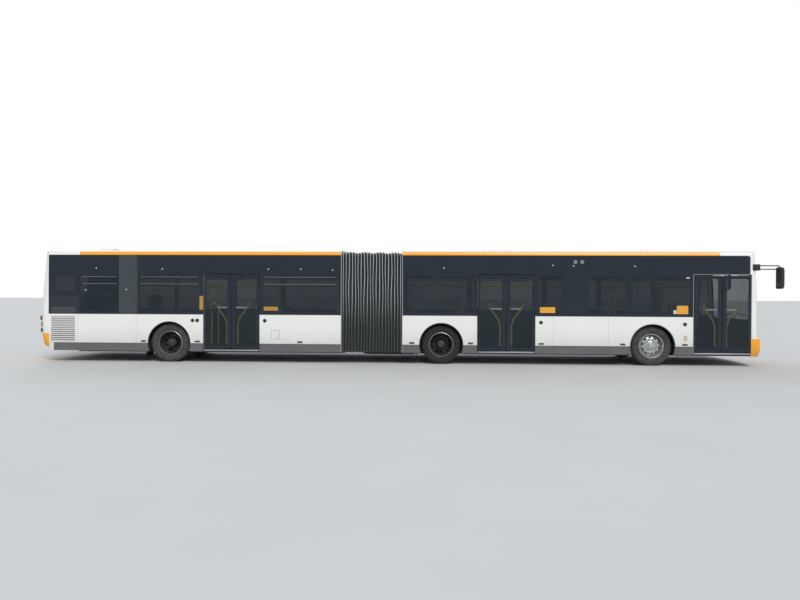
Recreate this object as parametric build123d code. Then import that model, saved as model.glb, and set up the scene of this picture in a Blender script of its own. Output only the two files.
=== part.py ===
from build123d import *
import math
import os

# Articulated low floor city bus, in millimetres. X forward, Y to the left, Z up from the road.
# X = 0 is the middle of the length over the mirrors. Doors are on the right, at negative Y.

# Overall sizes
body_width = 2500
mirror_reach = 375
skirt_bottom = 279
wall_top = 2672
cove_top = 2785
cove_width = 150
roof_top = 2812
wall = 60
roof_thick = 60
panel_top = 1191
skirt_top = 475
floor_top = 320
floor_thick = 70

# Lengths along the body
front_overhang = 2700
front_wheelbase = 5105
rear_wheelbase = 6770
rear_overhang = 3405
bellows_behind_axle = 965
bellows_length = 1491

# Stations along the body, each as a distance behind the front face
stations = {
    "front": front_overhang,
    "middle": front_overhang + front_wheelbase,
    "rear": front_overhang + front_wheelbase + rear_wheelbase,
}
body_length = stations["rear"] + rear_overhang
mask_side = 370
mask_top = 450
bellows_start = stations["middle"] + bellows_behind_axle
bellows_end = bellows_start + bellows_length

# Distances from the rear face forward
rear_corner = 349
quarter_seam = 1073
rear_seam = 2572
engine_bay = 1110
louvre_behind, louvre_ahead = 389, 1024
ventilator_middle = 1340

# Doors: name, front jamb, rear jamb
door_width = 1390
front_door_width = 1359
door_2_rear = stations["middle"] - 887
door_3_rear = stations["rear"] - 873
doors = [
    ("door_1", mask_side, mask_side + front_door_width),
    ("door_2", door_2_rear - door_width, door_2_rear),
    ("door_3", door_3_rear - door_width, door_3_rear),
]
door_height = 2215
leaf_thick = 35
leaf_inset = 5
leaf_bottom = 346
leaf_top = door_height - 25
leaf_border = 55
leaf_glass = 8
jamb_gap = 15
centre_gap = 10
post_radius = 16
post_inboard = 86
post_behind_jamb = 10
post_clearance = 8
arm_thick = 12
arm_width = 26
arm_clearance = 6
hinge_pin_radius = 8
pin_clearance = 0.3
open_edge = 15

# Wheels and axles
tyre_radius = 478.5
tyre_width = 275
tyre_shoulder = 14
shoulder_inset = 26
bead_inset = 40
tyre_recess = 58
twin_gap = 45
rim_flange_radius = 298
rim_width = 218
rim_well_radius = 262
disc_thick = 14
seat_gap = 0.2
spindle_radius = 60
spindle_clearance = 0.1
kingpin_offset = 125
kingpin_radius = 20
kingpin_clearance = 0.1
arch_radius = 525
box_top = 1010
box_wall = 15
steered_box_half = 575
steered_box_depth = 690
twin_box_depth = 705
beam_bottom = 150
beam_top = 240
beam_half = 50

# Windows
pane_thick = 6
pane_gap = 8
window_low = 1235
window_high = 2185
window_inset = 45
window_corner = 55
groove = 6

# Seats and handrails
seat_width = 430
seat_depth = 420
seat_height = 440
seat_back = 620
seat_shell = 45
cushion_thick = 70
cushion_rise = 10
back_lean = 10
back_crest = 25
foot_foot, foot_head = (90, 260), (120, 230)
foot_half = 60
seat_wall_gap = 25
seat_gap_between = 15
rail_radius = 17
rail_height = 1950

half_width = body_width / 2
inner_half = half_width - wall
steered_box_inner = half_width - steered_box_depth
twin_box_inner = half_width - twin_box_depth
front_x = (body_length + mirror_reach) / 2 - mirror_reach
floor_bottom = floor_top - floor_thick
tyre_outer_y = half_width - tyre_recess
tyre_y = tyre_outer_y - tyre_width / 2
twin_step = tyre_width + twin_gap
kingpin_y = tyre_y - kingpin_offset
os.makedirs("parts", exist_ok=True)
nodes = {}


def at(behind):
    """X of a station given as a distance behind the front face."""
    return front_x - behind


def before_rear(ahead):
    """Station of a place given as a distance ahead of the rear face."""
    return body_length - ahead


axle_x = {name: at(station) for name, station in stations.items()}
pivot_x = (at(bellows_start) + at(bellows_end)) / 2
rear_x = at(body_length)


def block(x, y, z):
    """A box from three pairs of limits, in any order."""
    low = [min(pair) for pair in (x, y, z)]
    size = [abs(pair[1] - pair[0]) for pair in (x, y, z)]
    return Pos(*[a + b / 2 for a, b in zip(low, size)]) * Box(*size)


def along_x(face, x_low, x_high):
    """A YZ section pushed along X."""
    return extrude(Plane.YZ.offset(x_low) * face, amount=x_high - x_low)


def along_y(face, y_low, y_high):
    """An XZ outline pushed along Y."""
    return extrude(Plane.XZ.offset(-y_high) * face, amount=y_high - y_low)


def rod(x, y, z, radius, length, axis):
    """A round bar centred at a point, along X, Y or Z."""
    turn = {"X": Rot(0, 90, 0), "Y": Rot(90, 0, 0), "Z": Rot(0, 0, 0)}[axis]
    return Pos(x, y, z) * turn * Cylinder(radius, length)


def polygon(points):
    return make_face(Polyline(*points, close=True))


def save(name, *solids):
    """Keeps the solids of one node."""
    found = []
    for shape in solids:
        found += list(shape.solids())
    nodes[name] = Compound(children=found)


# Body sections


def roof_outline(inset, low):
    """The YZ outline of walls, coves and cambered roof, moved inward by inset, from height low."""
    w = half_width - inset
    shoulder = (w - cove_width + inset / 2, cove_top - inset)
    crown = (0, roof_top - inset)
    edges = [
        Line((-w, low), (w, low)),
        TangentArc((w, wall_top), shoulder, tangent=(0, 1)),
        ThreePointArc(shoulder, crown, (-shoulder[0], shoulder[1])),
        TangentArc((-w, wall_top), (-shoulder[0], shoulder[1]), tangent=(0, 1)),
    ]
    if low < wall_top:
        edges += [Line((w, low), (w, wall_top)), Line((-w, wall_top), (-w, low))]
    return make_face(edges)


def plan_outline(nose, back, inset, corner, bow):
    """The XY outline of an end of the body: bowed face, rounded corners, straight sides."""
    way = 1 if nose > back else -1
    w = half_width - inset
    tip = nose - way * inset
    round_off = corner - inset
    start = (tip - way * (bow + round_off), w)
    end = (tip - way * bow, w - round_off)
    edges = [
        Line((back, -w), (back, w)),
        Line((back, w), start),
        TangentArc(start, end, tangent=(way, 0)),
        ThreePointArc(end, (tip, 0), (end[0], -end[1])),
        TangentArc((start[0], -w), (end[0], -end[1]), tangent=(way, 0)),
        Line((start[0], -w), (back, -w)),
    ]
    return make_face(edges)


# Ends of the body: height and how far the face lies back from the overall length
front_profile = [(249, 50), (440, 0), (660, 12), (690, 92), (1850, 98), (2430, 140), (2830, 175)]
rear_profile = [(279, 290), (420, 60), (640, 16), (1080, 0), (1760, 45), (2530, 118), (2830, 150)]
front_corner, front_bow = 170, 80
rear_corner_radius, rear_bow = 215, 70
top_radius = 270
loft_spare = 300
bumper_top = 677
rear_bumper_top = 700


def lean_at(profile, height):
    """How far the face lies back at a height, between the heights of its profile."""
    for (low, low_lean), (high, high_lean) in zip(profile, profile[1:]):
        if low <= height <= high:
            return low_lean + (high_lean - low_lean) * (height - low) / (high - low)
    return profile[-1][1]


def end_solid(profile, face_x, way, back, inset, corner, bow):
    """The filled end of the body, from a loft of plan outlines, with the roof's shape above."""
    sections = []
    for height, lean in profile:
        outline = plan_outline(face_x - way * lean, back - way * loft_spare, inset, corner, bow)
        sections.append(Plane.XY.offset(height) * outline)
    filled = loft(sections, ruled=True)
    low = profile[0][0]
    x_low, x_high = sorted((back, face_x))
    filled = filled & along_x(roof_outline(inset, low), x_low, x_high)
    top = roof_top - inset
    tip = face_x - way * (profile[-2][1] + inset)
    edge = face_x - way * (profile[-2][1] + inset + top_radius)
    wedge = make_face(
        [
            Line((edge, top), (tip, top)),
            Line((tip, top), (tip, top - top_radius)),
            TangentArc((tip, top - top_radius), (edge, top), tangent=(0, 1)),
        ]
    )
    return filled - along_y(wedge, -body_width, body_width)


front_back_x = at(mask_top)
rear_back_x = rear_x + rear_corner
front_outer = end_solid(front_profile, front_x, 1, front_back_x, 0, front_corner, front_bow)
front_inner = end_solid(front_profile, front_x, 1, front_back_x, wall, front_corner, front_bow)
rear_outer = end_solid(rear_profile, rear_x, -1, rear_back_x, 0, rear_corner_radius, rear_bow)
rear_inner = end_solid(rear_profile, rear_x, -1, rear_back_x, wall, rear_corner_radius, rear_bow)
front_pane_in = end_solid(front_profile, front_x, 1, front_back_x, pane_thick, front_corner, front_bow)
rear_pane_in = end_solid(rear_profile, rear_x, -1, rear_back_x, pane_thick, rear_corner_radius, rear_bow)

# Front mask, bumper, windscreen and head lamps
everywhere = (-body_length, body_length)
across = (-body_width, body_width)
screen_low = 1040
screen_high = 2600
screen_half = 1120
screen_depth = 330
lamp_depth = 420
lamp_low, lamp_high = 500, 655
lamp_y = (690, 1020)

door_side = block((at(mask_side), front_back_x - 1), across, (0, door_height))
front_shell = front_outer - front_inner - door_side
screen_zone = block((at(screen_depth), front_x + 1), (-screen_half, screen_half), (screen_low, screen_high))
lamp_zones = [
    block((at(lamp_depth), front_x + 1), (side * lamp_y[0], side * lamp_y[1]), (lamp_low, lamp_high))
    for side in (1, -1)
]
bumper_zone = block(everywhere, across, (0, bumper_top))
mask = front_shell - bumper_zone - screen_zone
bumper = front_shell & bumper_zone
lamps = []
for zone in lamp_zones:
    lamps.append((front_outer - front_inner) & zone)
    bumper = bumper - zone
tow_y, tow_z = 600, 440
tow_bore, tow_collar, tow_length = 18, 32, 100


def tow_socket(face_x, way, side):
    """A collar with a bore that stands just proud of a bumper, as a body to add and one to cut."""
    mouth = face_x - way * 20
    middle = mouth - way * tow_length / 2
    collar = rod(middle, side * tow_y, tow_z, tow_collar, tow_length, "X")
    return collar, rod(middle, side * tow_y, tow_z, tow_bore, 2 * tow_length, "X")


collar, tow_hole = tow_socket(front_x, 1, 1)
save("front_mask", mask)
save("front_bumper", bumper + collar - tow_hole)
save("head_lamps", *lamps)
save("windscreen", (front_outer - front_pane_in) & screen_zone)

# Rear mask with engine flap, window, bumper and tail lamps
flap_low, flap_high = 705, 1560
flap_half = 860
flap_gap = 7
rear_window_low, rear_window_high = 1640, 2250
rear_window_half = 980
tail_lamp_radius = 62
tail_lamp_heights = [780, 930, 1080]
tail_lamp_y = 1120
tail_lamp_depth = 130

rear_shell = rear_outer - rear_inner
rear_bumper_zone = block(everywhere, across, (0, rear_bumper_top))
flap_depth = 260
flap_x = (rear_x - 1, rear_x + flap_depth)
flap_hole = block(flap_x, (-flap_half, flap_half), (flap_low, flap_high))
flap_body = block(
    flap_x,
    (-flap_half + flap_gap, flap_half - flap_gap),
    (flap_low + flap_gap, flap_high - flap_gap),
)
rear_screen_zone = block(
    flap_x, (-rear_window_half, rear_window_half), (rear_window_low, rear_window_high)
)
rear_mask = rear_shell - rear_bumper_zone - flap_hole - rear_screen_zone
tail_lamps = []
for side in (1, -1):
    for height in tail_lamp_heights:
        middle = rear_x + tail_lamp_depth / 2
        seat = rod(middle, side * tail_lamp_y, height, tail_lamp_radius, tail_lamp_depth, "X")
        tail_lamps.append(seat & rear_shell)
        rear_mask = rear_mask - seat
barrel_radius = 10
barrel_length = 80
barrel_gap = 5
flap_pin_radius = 4
leaf_height = 60
hinge_x = rear_x + lean_at(rear_profile, flap_high) - barrel_radius - 2
hinge_z = flap_high
flap = flap_body & rear_shell
for side in (1, -1):
    for step in (-1, 0, 1):
        y = side * flap_half / 2 + step * (barrel_length + barrel_gap)
        barrel = rod(hinge_x, y, hinge_z, barrel_radius, barrel_length, "Y")
        ends = (y - barrel_length / 2, y + barrel_length / 2)
        way = -1 if step == 0 else 1
        leaf = block(
            (hinge_x - barrel_radius, hinge_x + wall), ends,
            (hinge_z + way * barrel_radius, hinge_z + way * leaf_height),
        )
        neck = block(
            (hinge_x - barrel_radius, hinge_x), ends, (hinge_z, hinge_z + way * barrel_radius)
        )
        if step == 0:
            flap = flap + (leaf - rear_inner) + barrel + neck
            flap -= rod(hinge_x, y, hinge_z, flap_pin_radius + pin_clearance, 2 * barrel_length, "Y")
            rear_mask += rod(hinge_x, y, hinge_z, flap_pin_radius, 2 * barrel_length, "Y")
        else:
            rear_mask = rear_mask + (leaf - rear_inner) + barrel + neck
rear_collar, rear_tow_hole = tow_socket(rear_x + lean_at(rear_profile, tow_z), -1, -1)
save("rear_mask", rear_mask)
save("rear_bumper", (rear_shell & rear_bumper_zone) + rear_collar - rear_tow_hole)
save("tail_lamps", *tail_lamps)
save("engine_flap", flap)

# Side walls

# Panes of each side: front station, rear station, lowest edge, whether it has a clear window
quarter_low = 1649
jamb_margin = 12
first_post, second_post, third_post = 1742, 3272, 4794
door_2_panes = (doors[1][1] - jamb_margin, doors[1][2] + jamb_margin)
door_3_panes = (doors[2][1] - jamb_margin, doors[2][2] + jamb_margin)
right_front_panes = [
    (mask_top, first_post, door_height + 10, False),
    (first_post, second_post, panel_top, True),
    (second_post, third_post, panel_top, True),
    (third_post, door_2_panes[0], panel_top, True),
    (*door_2_panes, door_height + 10, False),
    (door_2_panes[1], bellows_start, panel_top, True),
]
right_rear_panes = [
    (bellows_end, door_3_panes[0], panel_top, True),
    (*door_3_panes, door_height + 10, False),
    (door_3_panes[1], before_rear(rear_seam), panel_top, True),
    (before_rear(rear_seam), before_rear(quarter_seam), panel_top, True),
    (before_rear(quarter_seam), before_rear(rear_corner), quarter_low, True),
]
left_front_panes = [
    (mask_top, first_post, panel_top, True),
    (first_post, second_post, panel_top, True),
    (second_post, third_post, panel_top, True),
    (third_post, door_2_panes[1], panel_top, True),
    (door_2_panes[1], bellows_start, panel_top, True),
]
left_rear_panes = [
    (bellows_end, door_3_panes[0], panel_top, True),
    (*door_3_panes, panel_top, True),
    (door_3_panes[1], before_rear(rear_seam), panel_top, True),
    (before_rear(rear_seam), before_rear(quarter_seam), panel_top, True),
    (before_rear(quarter_seam), before_rear(rear_corner), quarter_low, False),
]
panel_seams = [3757, 5080, door_2_panes[1] + 70, before_rear(rear_seam), before_rear(quarter_seam)]
louvre_station = (before_rear(louvre_ahead), before_rear(louvre_behind))
louvre_height = (490, 1144)
louvre_count = 13
louvre_blade = 30
louvre_thick = 8
louvre_inset = 4
louvre_bar = 14


def through_wall(side):
    """Y limits of a cut right through a side wall."""
    return side * (inner_half - 1), side * (half_width + 1)


def window_hole(x_front, x_rear, low, high, side):
    """A clear window's hole through a side wall, with rounded corners."""
    middle = ((x_front + x_rear) / 2, (low + high) / 2)
    shape = Pos(*middle) * RectangleRounded(abs(x_front - x_rear), high - low, window_corner)
    return along_y(shape, *sorted(through_wall(side)))


def side_wall(side, front, rear, panes, door_rows, axles):
    """One side wall with its windows, door openings, wheel arches and grooves, and its panes."""
    body = block((at(front), at(rear)), (side * inner_half, side * half_width), (skirt_bottom, wall_top))
    glass = []
    for pane_front, pane_rear, low, clear in panes:
        x_front, x_rear = at(pane_front) - pane_gap / 2, at(pane_rear) + pane_gap / 2
        rebate = (side * (half_width - pane_thick), side * half_width)
        body -= block((at(pane_front), at(pane_rear)), rebate, (low, wall_top))
        pane = block((x_front, x_rear), rebate, (low + pane_gap / 2, wall_top - pane_gap / 2))
        glass.append(pane)
        if clear:
            hole_low = max(window_low, low + window_inset)
            hole = (x_front - window_inset, x_rear + window_inset, hole_low, window_high)
            body -= window_hole(*hole, side)
    for name, jamb_front, jamb_rear in door_rows:
        body -= block((at(jamb_front), at(jamb_rear)), through_wall(side), (0, door_height))
    for name in axles:
        body -= rod(axle_x[name], side * half_width, tyre_radius, arch_radius, 4 * wall, "Y")
    cut = (side * (half_width - groove), side * half_width)
    body -= block(everywhere, cut, (skirt_top - groove / 2, skirt_top + groove / 2))
    for station in panel_seams:
        if front < station < rear:
            body -= block(
                (at(station) - groove / 2, at(station) + groove / 2), cut, (skirt_bottom, panel_top)
            )
    return body, glass


def louvre_panel(side):
    """A frame with slanting blades that fills the louvre hole of one rear side wall."""
    x_front, x_rear = at(louvre_station[0]), at(louvre_station[1])
    low, high = louvre_height
    panel = block((x_front, x_rear), (side * inner_half, side * half_width), (low, high))
    panel -= block(
        (x_front - louvre_bar, x_rear + louvre_bar),
        through_wall(side),
        (low + louvre_bar, high - louvre_bar),
    )
    pitch = (high - low - 2 * louvre_bar) / louvre_count
    outer, inner = side * (half_width - louvre_inset), side * (half_width - louvre_inset - louvre_blade)
    for row in range(louvre_count):
        foot = low + louvre_bar + (row + 0.15) * pitch
        blade = [
            (outer, foot),
            (outer, foot + louvre_thick),
            (inner, foot + louvre_thick + pitch / 2),
            (inner, foot + pitch / 2),
        ]
        panel += along_x(polygon(blade), x_rear + louvre_bar / 2, x_front - louvre_bar / 2)
    return panel


louvre_holes = {
    side: block((at(louvre_station[0]), at(louvre_station[1])), through_wall(side), louvre_height)
    for side in (1, -1)
}
front_span = (mask_side, bellows_start)
rear_span = (bellows_end, before_rear(rear_corner))
mask_overlap = block((at(mask_side) + 1, at(mask_top)), across, (door_height, roof_top))
right_front, right_front_glass = side_wall(
    -1, *front_span, right_front_panes, doors[:2], ["front", "middle"]
)
left_front, left_front_glass = side_wall(1, *front_span, left_front_panes, [], ["front", "middle"])
right_rear, right_rear_glass = side_wall(-1, *rear_span, right_rear_panes, doors[2:], ["rear"])
left_rear, left_rear_glass = side_wall(1, *rear_span, left_rear_panes, [], ["rear"])
save("front_right_side", right_front - mask_overlap)
save("front_left_side", left_front - mask_overlap)
save("rear_right_side", right_rear - louvre_holes[-1])
save("rear_left_side", left_rear - louvre_holes[1])
save("front_windows", *right_front_glass, *left_front_glass)
save("rear_windows", *right_rear_glass, *left_rear_glass, (rear_outer - rear_pane_in) & rear_screen_zone)
save("engine_louvres", louvre_panel(-1), louvre_panel(1))

# Roofs: hatches as station of the middle, half length and top
hatch_half, hatch_width, hatch_top = 390, 330, roof_top + 50
ventilator_half, ventilator_top = 207, roof_top + 68
front_hatches = [
    (stations["front"] - 400, hatch_half, hatch_top),
    (stations["middle"] - 1505, hatch_half, hatch_top),
]
rear_hatches = [
    (bellows_end + 1539, hatch_half, hatch_top),
    (before_rear(ventilator_middle), ventilator_half, ventilator_top),
]
hatch_corner = 60
hatch_sunk = 40


def roof(front, rear, hatches):
    x_low, x_high = at(rear), at(front)
    skin = along_x(roof_outline(0, wall_top), x_low, x_high)
    skin -= along_x(roof_outline(roof_thick, wall_top - 1), x_low - 1, x_high + 1)
    for middle, half, top in hatches:
        lid = block(
            (at(middle) - half, at(middle) + half), (-hatch_width, hatch_width), (roof_top - hatch_sunk, top)
        )
        skin += fillet(lid.edges().filter_by(Axis.Z), hatch_corner)
    return skin


save("front_roof", roof(mask_top, bellows_start, front_hatches))
save("rear_roof", roof(bellows_end, before_rear(rear_corner), rear_hatches))

# Floors with wheel boxes


def wheel_box(name, side, half_length, inner_y):
    """The thin box over one side's wheels, open to the arch and to the road."""
    x = axle_x[name]
    outer = block(
        (x - half_length - box_wall, x + half_length + box_wall),
        (side * (inner_y - box_wall), side * inner_half),
        (floor_bottom, box_top + box_wall),
    )
    cavity = block(
        (x - half_length, x + half_length), (side * inner_y, side * half_width), (0, box_top)
    )
    return outer, cavity


twin_box_half = arch_radius + 20
podium_start = stations["rear"] + twin_box_half + box_wall
podium_top = 620
podium_thick = 30
sill_bottom = 285
engine_bay_start = before_rear(engine_bay)
engine_bay_top = 1175
front_floor = block(
    (at(mask_top), at(bellows_start)), (-inner_half, inner_half), (floor_bottom, floor_top)
)
nose_floor = block((at(mask_top), front_x), across, (floor_bottom, floor_top))
front_floor += nose_floor & front_inner
rear_floor = block(
    (at(bellows_end), at(engine_bay_start)), (-inner_half, inner_half), (floor_bottom, floor_top)
)
boxes = [
    ("front", steered_box_half, steered_box_inner),
    ("middle", twin_box_half, twin_box_inner),
    ("rear", twin_box_half, twin_box_inner),
]
for name, half_length, inner_y in boxes:
    for side in (1, -1):
        outer, cavity = wheel_box(name, side, half_length, inner_y)
        if name == "rear":
            rear_floor = rear_floor + outer - cavity
        else:
            front_floor = front_floor + outer - cavity
for name, jamb_front, jamb_rear in doors:
    sill = block(
        (at(jamb_front), at(jamb_rear)), (-inner_half, -half_width + leaf_inset), (sill_bottom, floor_top)
    )
    if name == "door_3":
        rear_floor += sill
    else:
        front_floor += sill
podium = block(
    (at(podium_start), at(engine_bay_start)), (-inner_half, inner_half), (floor_top, podium_top)
)
podium -= block(
    (at(podium_start) - podium_thick, at(engine_bay_start)), (-inner_half, inner_half),
    (floor_top, podium_top - podium_thick),
)
bulkhead_x = at(engine_bay_start) - podium_thick
bulkhead = block(
    (at(engine_bay_start), bulkhead_x), (-inner_half, inner_half), (floor_bottom, engine_bay_top)
)
bay_roof = block(
    (bulkhead_x, rear_back_x), (-inner_half, inner_half), (engine_bay_top - podium_thick, engine_bay_top)
)
save("front_floor", front_floor)
save("rear_floor", rear_floor, podium + bulkhead + bay_roof)

# Underframes with the joint's yoke, turntable and hoops
rail_inboard = 820
rail_y = half_width - rail_inboard
rail_half = 60
rail_bottom = 190
axle_clear = 420
hoop_width = 55
hoop_depth = 50
yoke_half = 330
yoke_low, yoke_mid, yoke_high = 150, 198, 248
pivot_pin_radius = 90
disc_radius = 640
disc_clearance = 8
gangway_half = 560
plate_thick = 30
cross_member_half = 40
cross_member_end = 100
yoke_root = 300


def hoop(x_low, x_high):
    """A portal frame inside the body's section at one side of the joint."""
    ring = along_x(roof_outline(roof_thick, floor_top), x_low, x_high)
    return ring - along_x(roof_outline(roof_thick + hoop_depth, floor_top - 1), x_low - 1, x_high + 1)


def rails(spans):
    """Two lengthwise rails and their cross members, in stretches between the axles."""
    pieces = []
    for front, rear in spans:
        frame = None
        for side in (1, -1):
            bar = block(
                (at(front), at(rear)),
                (side * (rail_y - rail_half), side * (rail_y + rail_half)),
                (rail_bottom, floor_bottom),
            )
            frame = bar if frame is None else frame + bar
        for station in (front + cross_member_end, (front + rear) / 2, rear - cross_member_end):
            frame += block(
                (at(station) - cross_member_half, at(station) + cross_member_half),
                (-rail_y, rail_y), (rail_bottom, floor_bottom),
            )
        pieces.append(frame)
    return pieces


front_frames = rails(
    [
        (700, stations["front"] - axle_clear),
        (stations["front"] + axle_clear, stations["middle"] - axle_clear),
        (stations["middle"] + axle_clear, bellows_start),
    ]
)
rear_frames = rails(
    [
        (bellows_end, stations["rear"] - axle_clear),
        (stations["rear"] + axle_clear, engine_bay_start),
    ]
)
yoke = block(
    (pivot_x, at(bellows_start)), (-yoke_half, yoke_half), (yoke_low, yoke_mid)
)
yoke += rod(pivot_x, 0, (yoke_low + yoke_mid) / 2, yoke_half, yoke_mid - yoke_low, "Z")
yoke += block(
    (at(bellows_start), at(bellows_start) + yoke_root), (-yoke_half, yoke_half), (yoke_low, rail_bottom)
)
yoke -= rod(pivot_x, 0, yoke_low, pivot_pin_radius + pin_clearance, 4 * yoke_low, "Z")
front_plate = block(
    (pivot_x, at(bellows_start)), (-gangway_half, gangway_half), (floor_top - plate_thick, floor_top)
)
front_plate -= rod(pivot_x, 0, floor_top, disc_radius + disc_clearance, 4 * plate_thick, "Z")
front_hoop = hoop(at(bellows_start), at(bellows_start) + hoop_width)
swivel = block(
    (at(bellows_end), pivot_x), (-yoke_half, yoke_half), (yoke_mid + disc_clearance, yoke_high)
)
swivel += rod(
    pivot_x, 0, (yoke_mid + disc_clearance + yoke_high) / 2, yoke_half,
    yoke_high - yoke_mid - disc_clearance, "Z",
)
swivel += rod(pivot_x, 0, (yoke_low + floor_top) / 2, pivot_pin_radius, floor_top - yoke_low, "Z")
rear_plate = block(
    (at(bellows_end), pivot_x), (-gangway_half, gangway_half), (floor_top - plate_thick, floor_top)
)
rear_plate += rod(pivot_x, 0, floor_top - plate_thick / 2, disc_radius, plate_thick, "Z")
rear_hoop = hoop(at(bellows_end) - hoop_width, at(bellows_end))
save("front_underframe", *front_frames[:2], front_frames[2] + yoke, front_plate, front_hoop)
save("rear_underframe", rear_frames[0] + (swivel + rear_plate), rear_frames[1], rear_hoop)

# Bellows
fold_count = 20
fold_depth = 70
bellows_inset = 25
bellows_thick = 25


def bellows_outline(inset):
    return roof_outline(bellows_inset + inset, skirt_bottom)


def bellows_skin():
    """The pleated hood: a chain of folds, each rising from a valley to a crest and back."""
    start, end = at(bellows_end), at(bellows_start)
    step = (end - start) / fold_count
    skin = None
    for fold in range(fold_count):
        x = start + fold * step
        places = [(x, fold_depth), (x + step / 2, 0), (x + step, fold_depth)]
        sections = [Plane.YZ.offset(px) * bellows_outline(depth) for px, depth in places]
        piece = loft(sections, ruled=True)
        skin = piece if skin is None else skin + piece
    return skin


tunnel = along_x(
    roof_outline(bellows_inset + fold_depth + bellows_thick, skirt_bottom - 1),
    at(bellows_end) - 1, at(bellows_start) + 1,
)
save("bellows", bellows_skin() - tunnel)

# Axles and knuckles


riser_run = 60
riser_lean = 40


def beam_profile(riser_y, top_z, end_y):
    """Half of the dropped beam's outline in YZ, mirrored to both sides."""
    end_low = top_z - (beam_top - beam_bottom)
    half = [
        (0, beam_bottom),
        (riser_y - riser_run, beam_bottom),
        (riser_y + riser_lean, end_low),
        (end_y, end_low),
        (end_y, top_z),
        (riser_y, top_z),
        (riser_y - riser_run, beam_top),
        (0, beam_top),
    ]
    left = polygon(half)
    right = polygon([(-y, z) for y, z in half])
    return left + right


boss_half = 50
boss_radius = 45
ear_gap = 5
ear_thick = 30
plate_outboard = 58
plate_knuckle = 22
boss_web = 25
front_riser_y = kingpin_y - 289.5
front_beam = along_x(
    beam_profile(front_riser_y, tyre_radius + boss_radius, kingpin_y),
    axle_x["front"] - beam_half, axle_x["front"] + beam_half,
)
spindle_short = 60
for side, name in ((1, "left"), (-1, "right")):
    y = side * kingpin_y
    front_beam -= block(
        (axle_x["front"] - 2 * beam_half, axle_x["front"] + 2 * beam_half),
        (y - side * (boss_radius + boss_web), y + side * kingpin_offset),
        (0, box_top),
    )
    front_beam += block(
        (axle_x["front"] - boss_radius, axle_x["front"] + boss_radius),
        (y - side * (boss_radius + boss_web), y),
        (tyre_radius - boss_half, tyre_radius + boss_half - ear_gap),
    )
    front_beam += rod(axle_x["front"], y, tyre_radius, boss_radius, 2 * boss_half, "Z")
    front_beam -= rod(
        axle_x["front"], y, tyre_radius, kingpin_radius + kingpin_clearance, 4 * boss_half, "Z"
    )
    ear_mid = boss_half + ear_gap + ear_thick / 2
    ear = rod(axle_x["front"], y, tyre_radius + ear_mid, boss_radius, ear_thick, "Z")
    low_ear = rod(axle_x["front"], y, tyre_radius - ear_mid, boss_radius, ear_thick, "Z")
    reach = (y, y + side * (plate_outboard + plate_knuckle))
    upper = block(
        (axle_x["front"] - boss_radius, axle_x["front"] + boss_radius), reach,
        (tyre_radius + boss_half + ear_gap, tyre_radius + boss_half + ear_gap + ear_thick),
    )
    lower = block(
        (axle_x["front"] - boss_radius, axle_x["front"] + boss_radius), reach,
        (tyre_radius - boss_half - ear_gap - ear_thick, tyre_radius - boss_half - ear_gap),
    )
    plate = block(
        (axle_x["front"] - boss_radius, axle_x["front"] + boss_radius),
        (y + side * plate_outboard, y + side * (plate_outboard + plate_knuckle)),
        (tyre_radius - boss_half - ear_gap - ear_thick, tyre_radius + boss_half + ear_gap + ear_thick),
    )
    spindle_end = side * (tyre_outer_y - spindle_short)
    spindle_start = y + side * (plate_outboard + plate_knuckle)
    spindle = rod(
        axle_x["front"], (spindle_start + spindle_end) / 2, tyre_radius,
        spindle_radius, abs(spindle_end - spindle_start), "Y",
    )
    pin = rod(axle_x["front"], y, tyre_radius, kingpin_radius, 2 * (boss_half + ear_gap + ear_thick), "Z")
    save(name + "_knuckle", ear + low_ear + upper + lower + plate + spindle + pin)


arm_bar_half = 30
arm_bar_z = (200, 235)
portal_gap = 8
portal_face = 34
portal_riser_half = 70
portal_plate_half = 90
portal_spindle_short = 110


def radius_arms(name):
    """Bars from an axle's beam to the ends of the rails before and behind it."""
    x = axle_x[name]
    arms = None
    for side in (1, -1):
        bar = block(
            (x - axle_clear, x + axle_clear),
            (side * (rail_y - arm_bar_half), side * (rail_y + arm_bar_half)),
            arm_bar_z,
        )
        arms = bar if arms is None else arms + bar
    return arms


def portal_axle(name):
    """A dropped beam with a riser and a hub spindle at each end, for twin wheels."""
    x = axle_x[name]
    inner = twin_box_inner + portal_gap
    outer = inner + portal_face
    beam_end = twin_box_inner - riser_run
    centre = block((x - portal_plate_half + 10, x + portal_plate_half - 10), (-beam_end, beam_end),
                   (beam_bottom, beam_top))
    for side in (1, -1):
        riser = block(
            (x - portal_riser_half, x + portal_riser_half), (side * beam_end, side * outer),
            (beam_bottom + 20, beam_top),
        )
        riser += block(
            (x - portal_plate_half, x + portal_plate_half), (side * inner, side * outer),
            (beam_bottom + riser_run, tyre_radius + portal_plate_half),
        )
        end = tyre_outer_y - portal_spindle_short
        spindle = rod(x, side * (inner + end) / 2, tyre_radius, spindle_radius, end - inner, "Y")
        centre = centre + riser + spindle
    return centre + radius_arms(name)


save("front_car_axles", front_beam + radius_arms("front"), portal_axle("middle"))
save("rear_axle", portal_axle("rear"))

# Wheels, modelled about the Y axis with the outer side at positive Y


def turned(points):
    """A solid of revolution about Y from points given as radius and Y."""
    return revolve(make_face(Polyline(*[(r, y) for r, y in points], close=True)), Axis.Y, 360)


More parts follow.
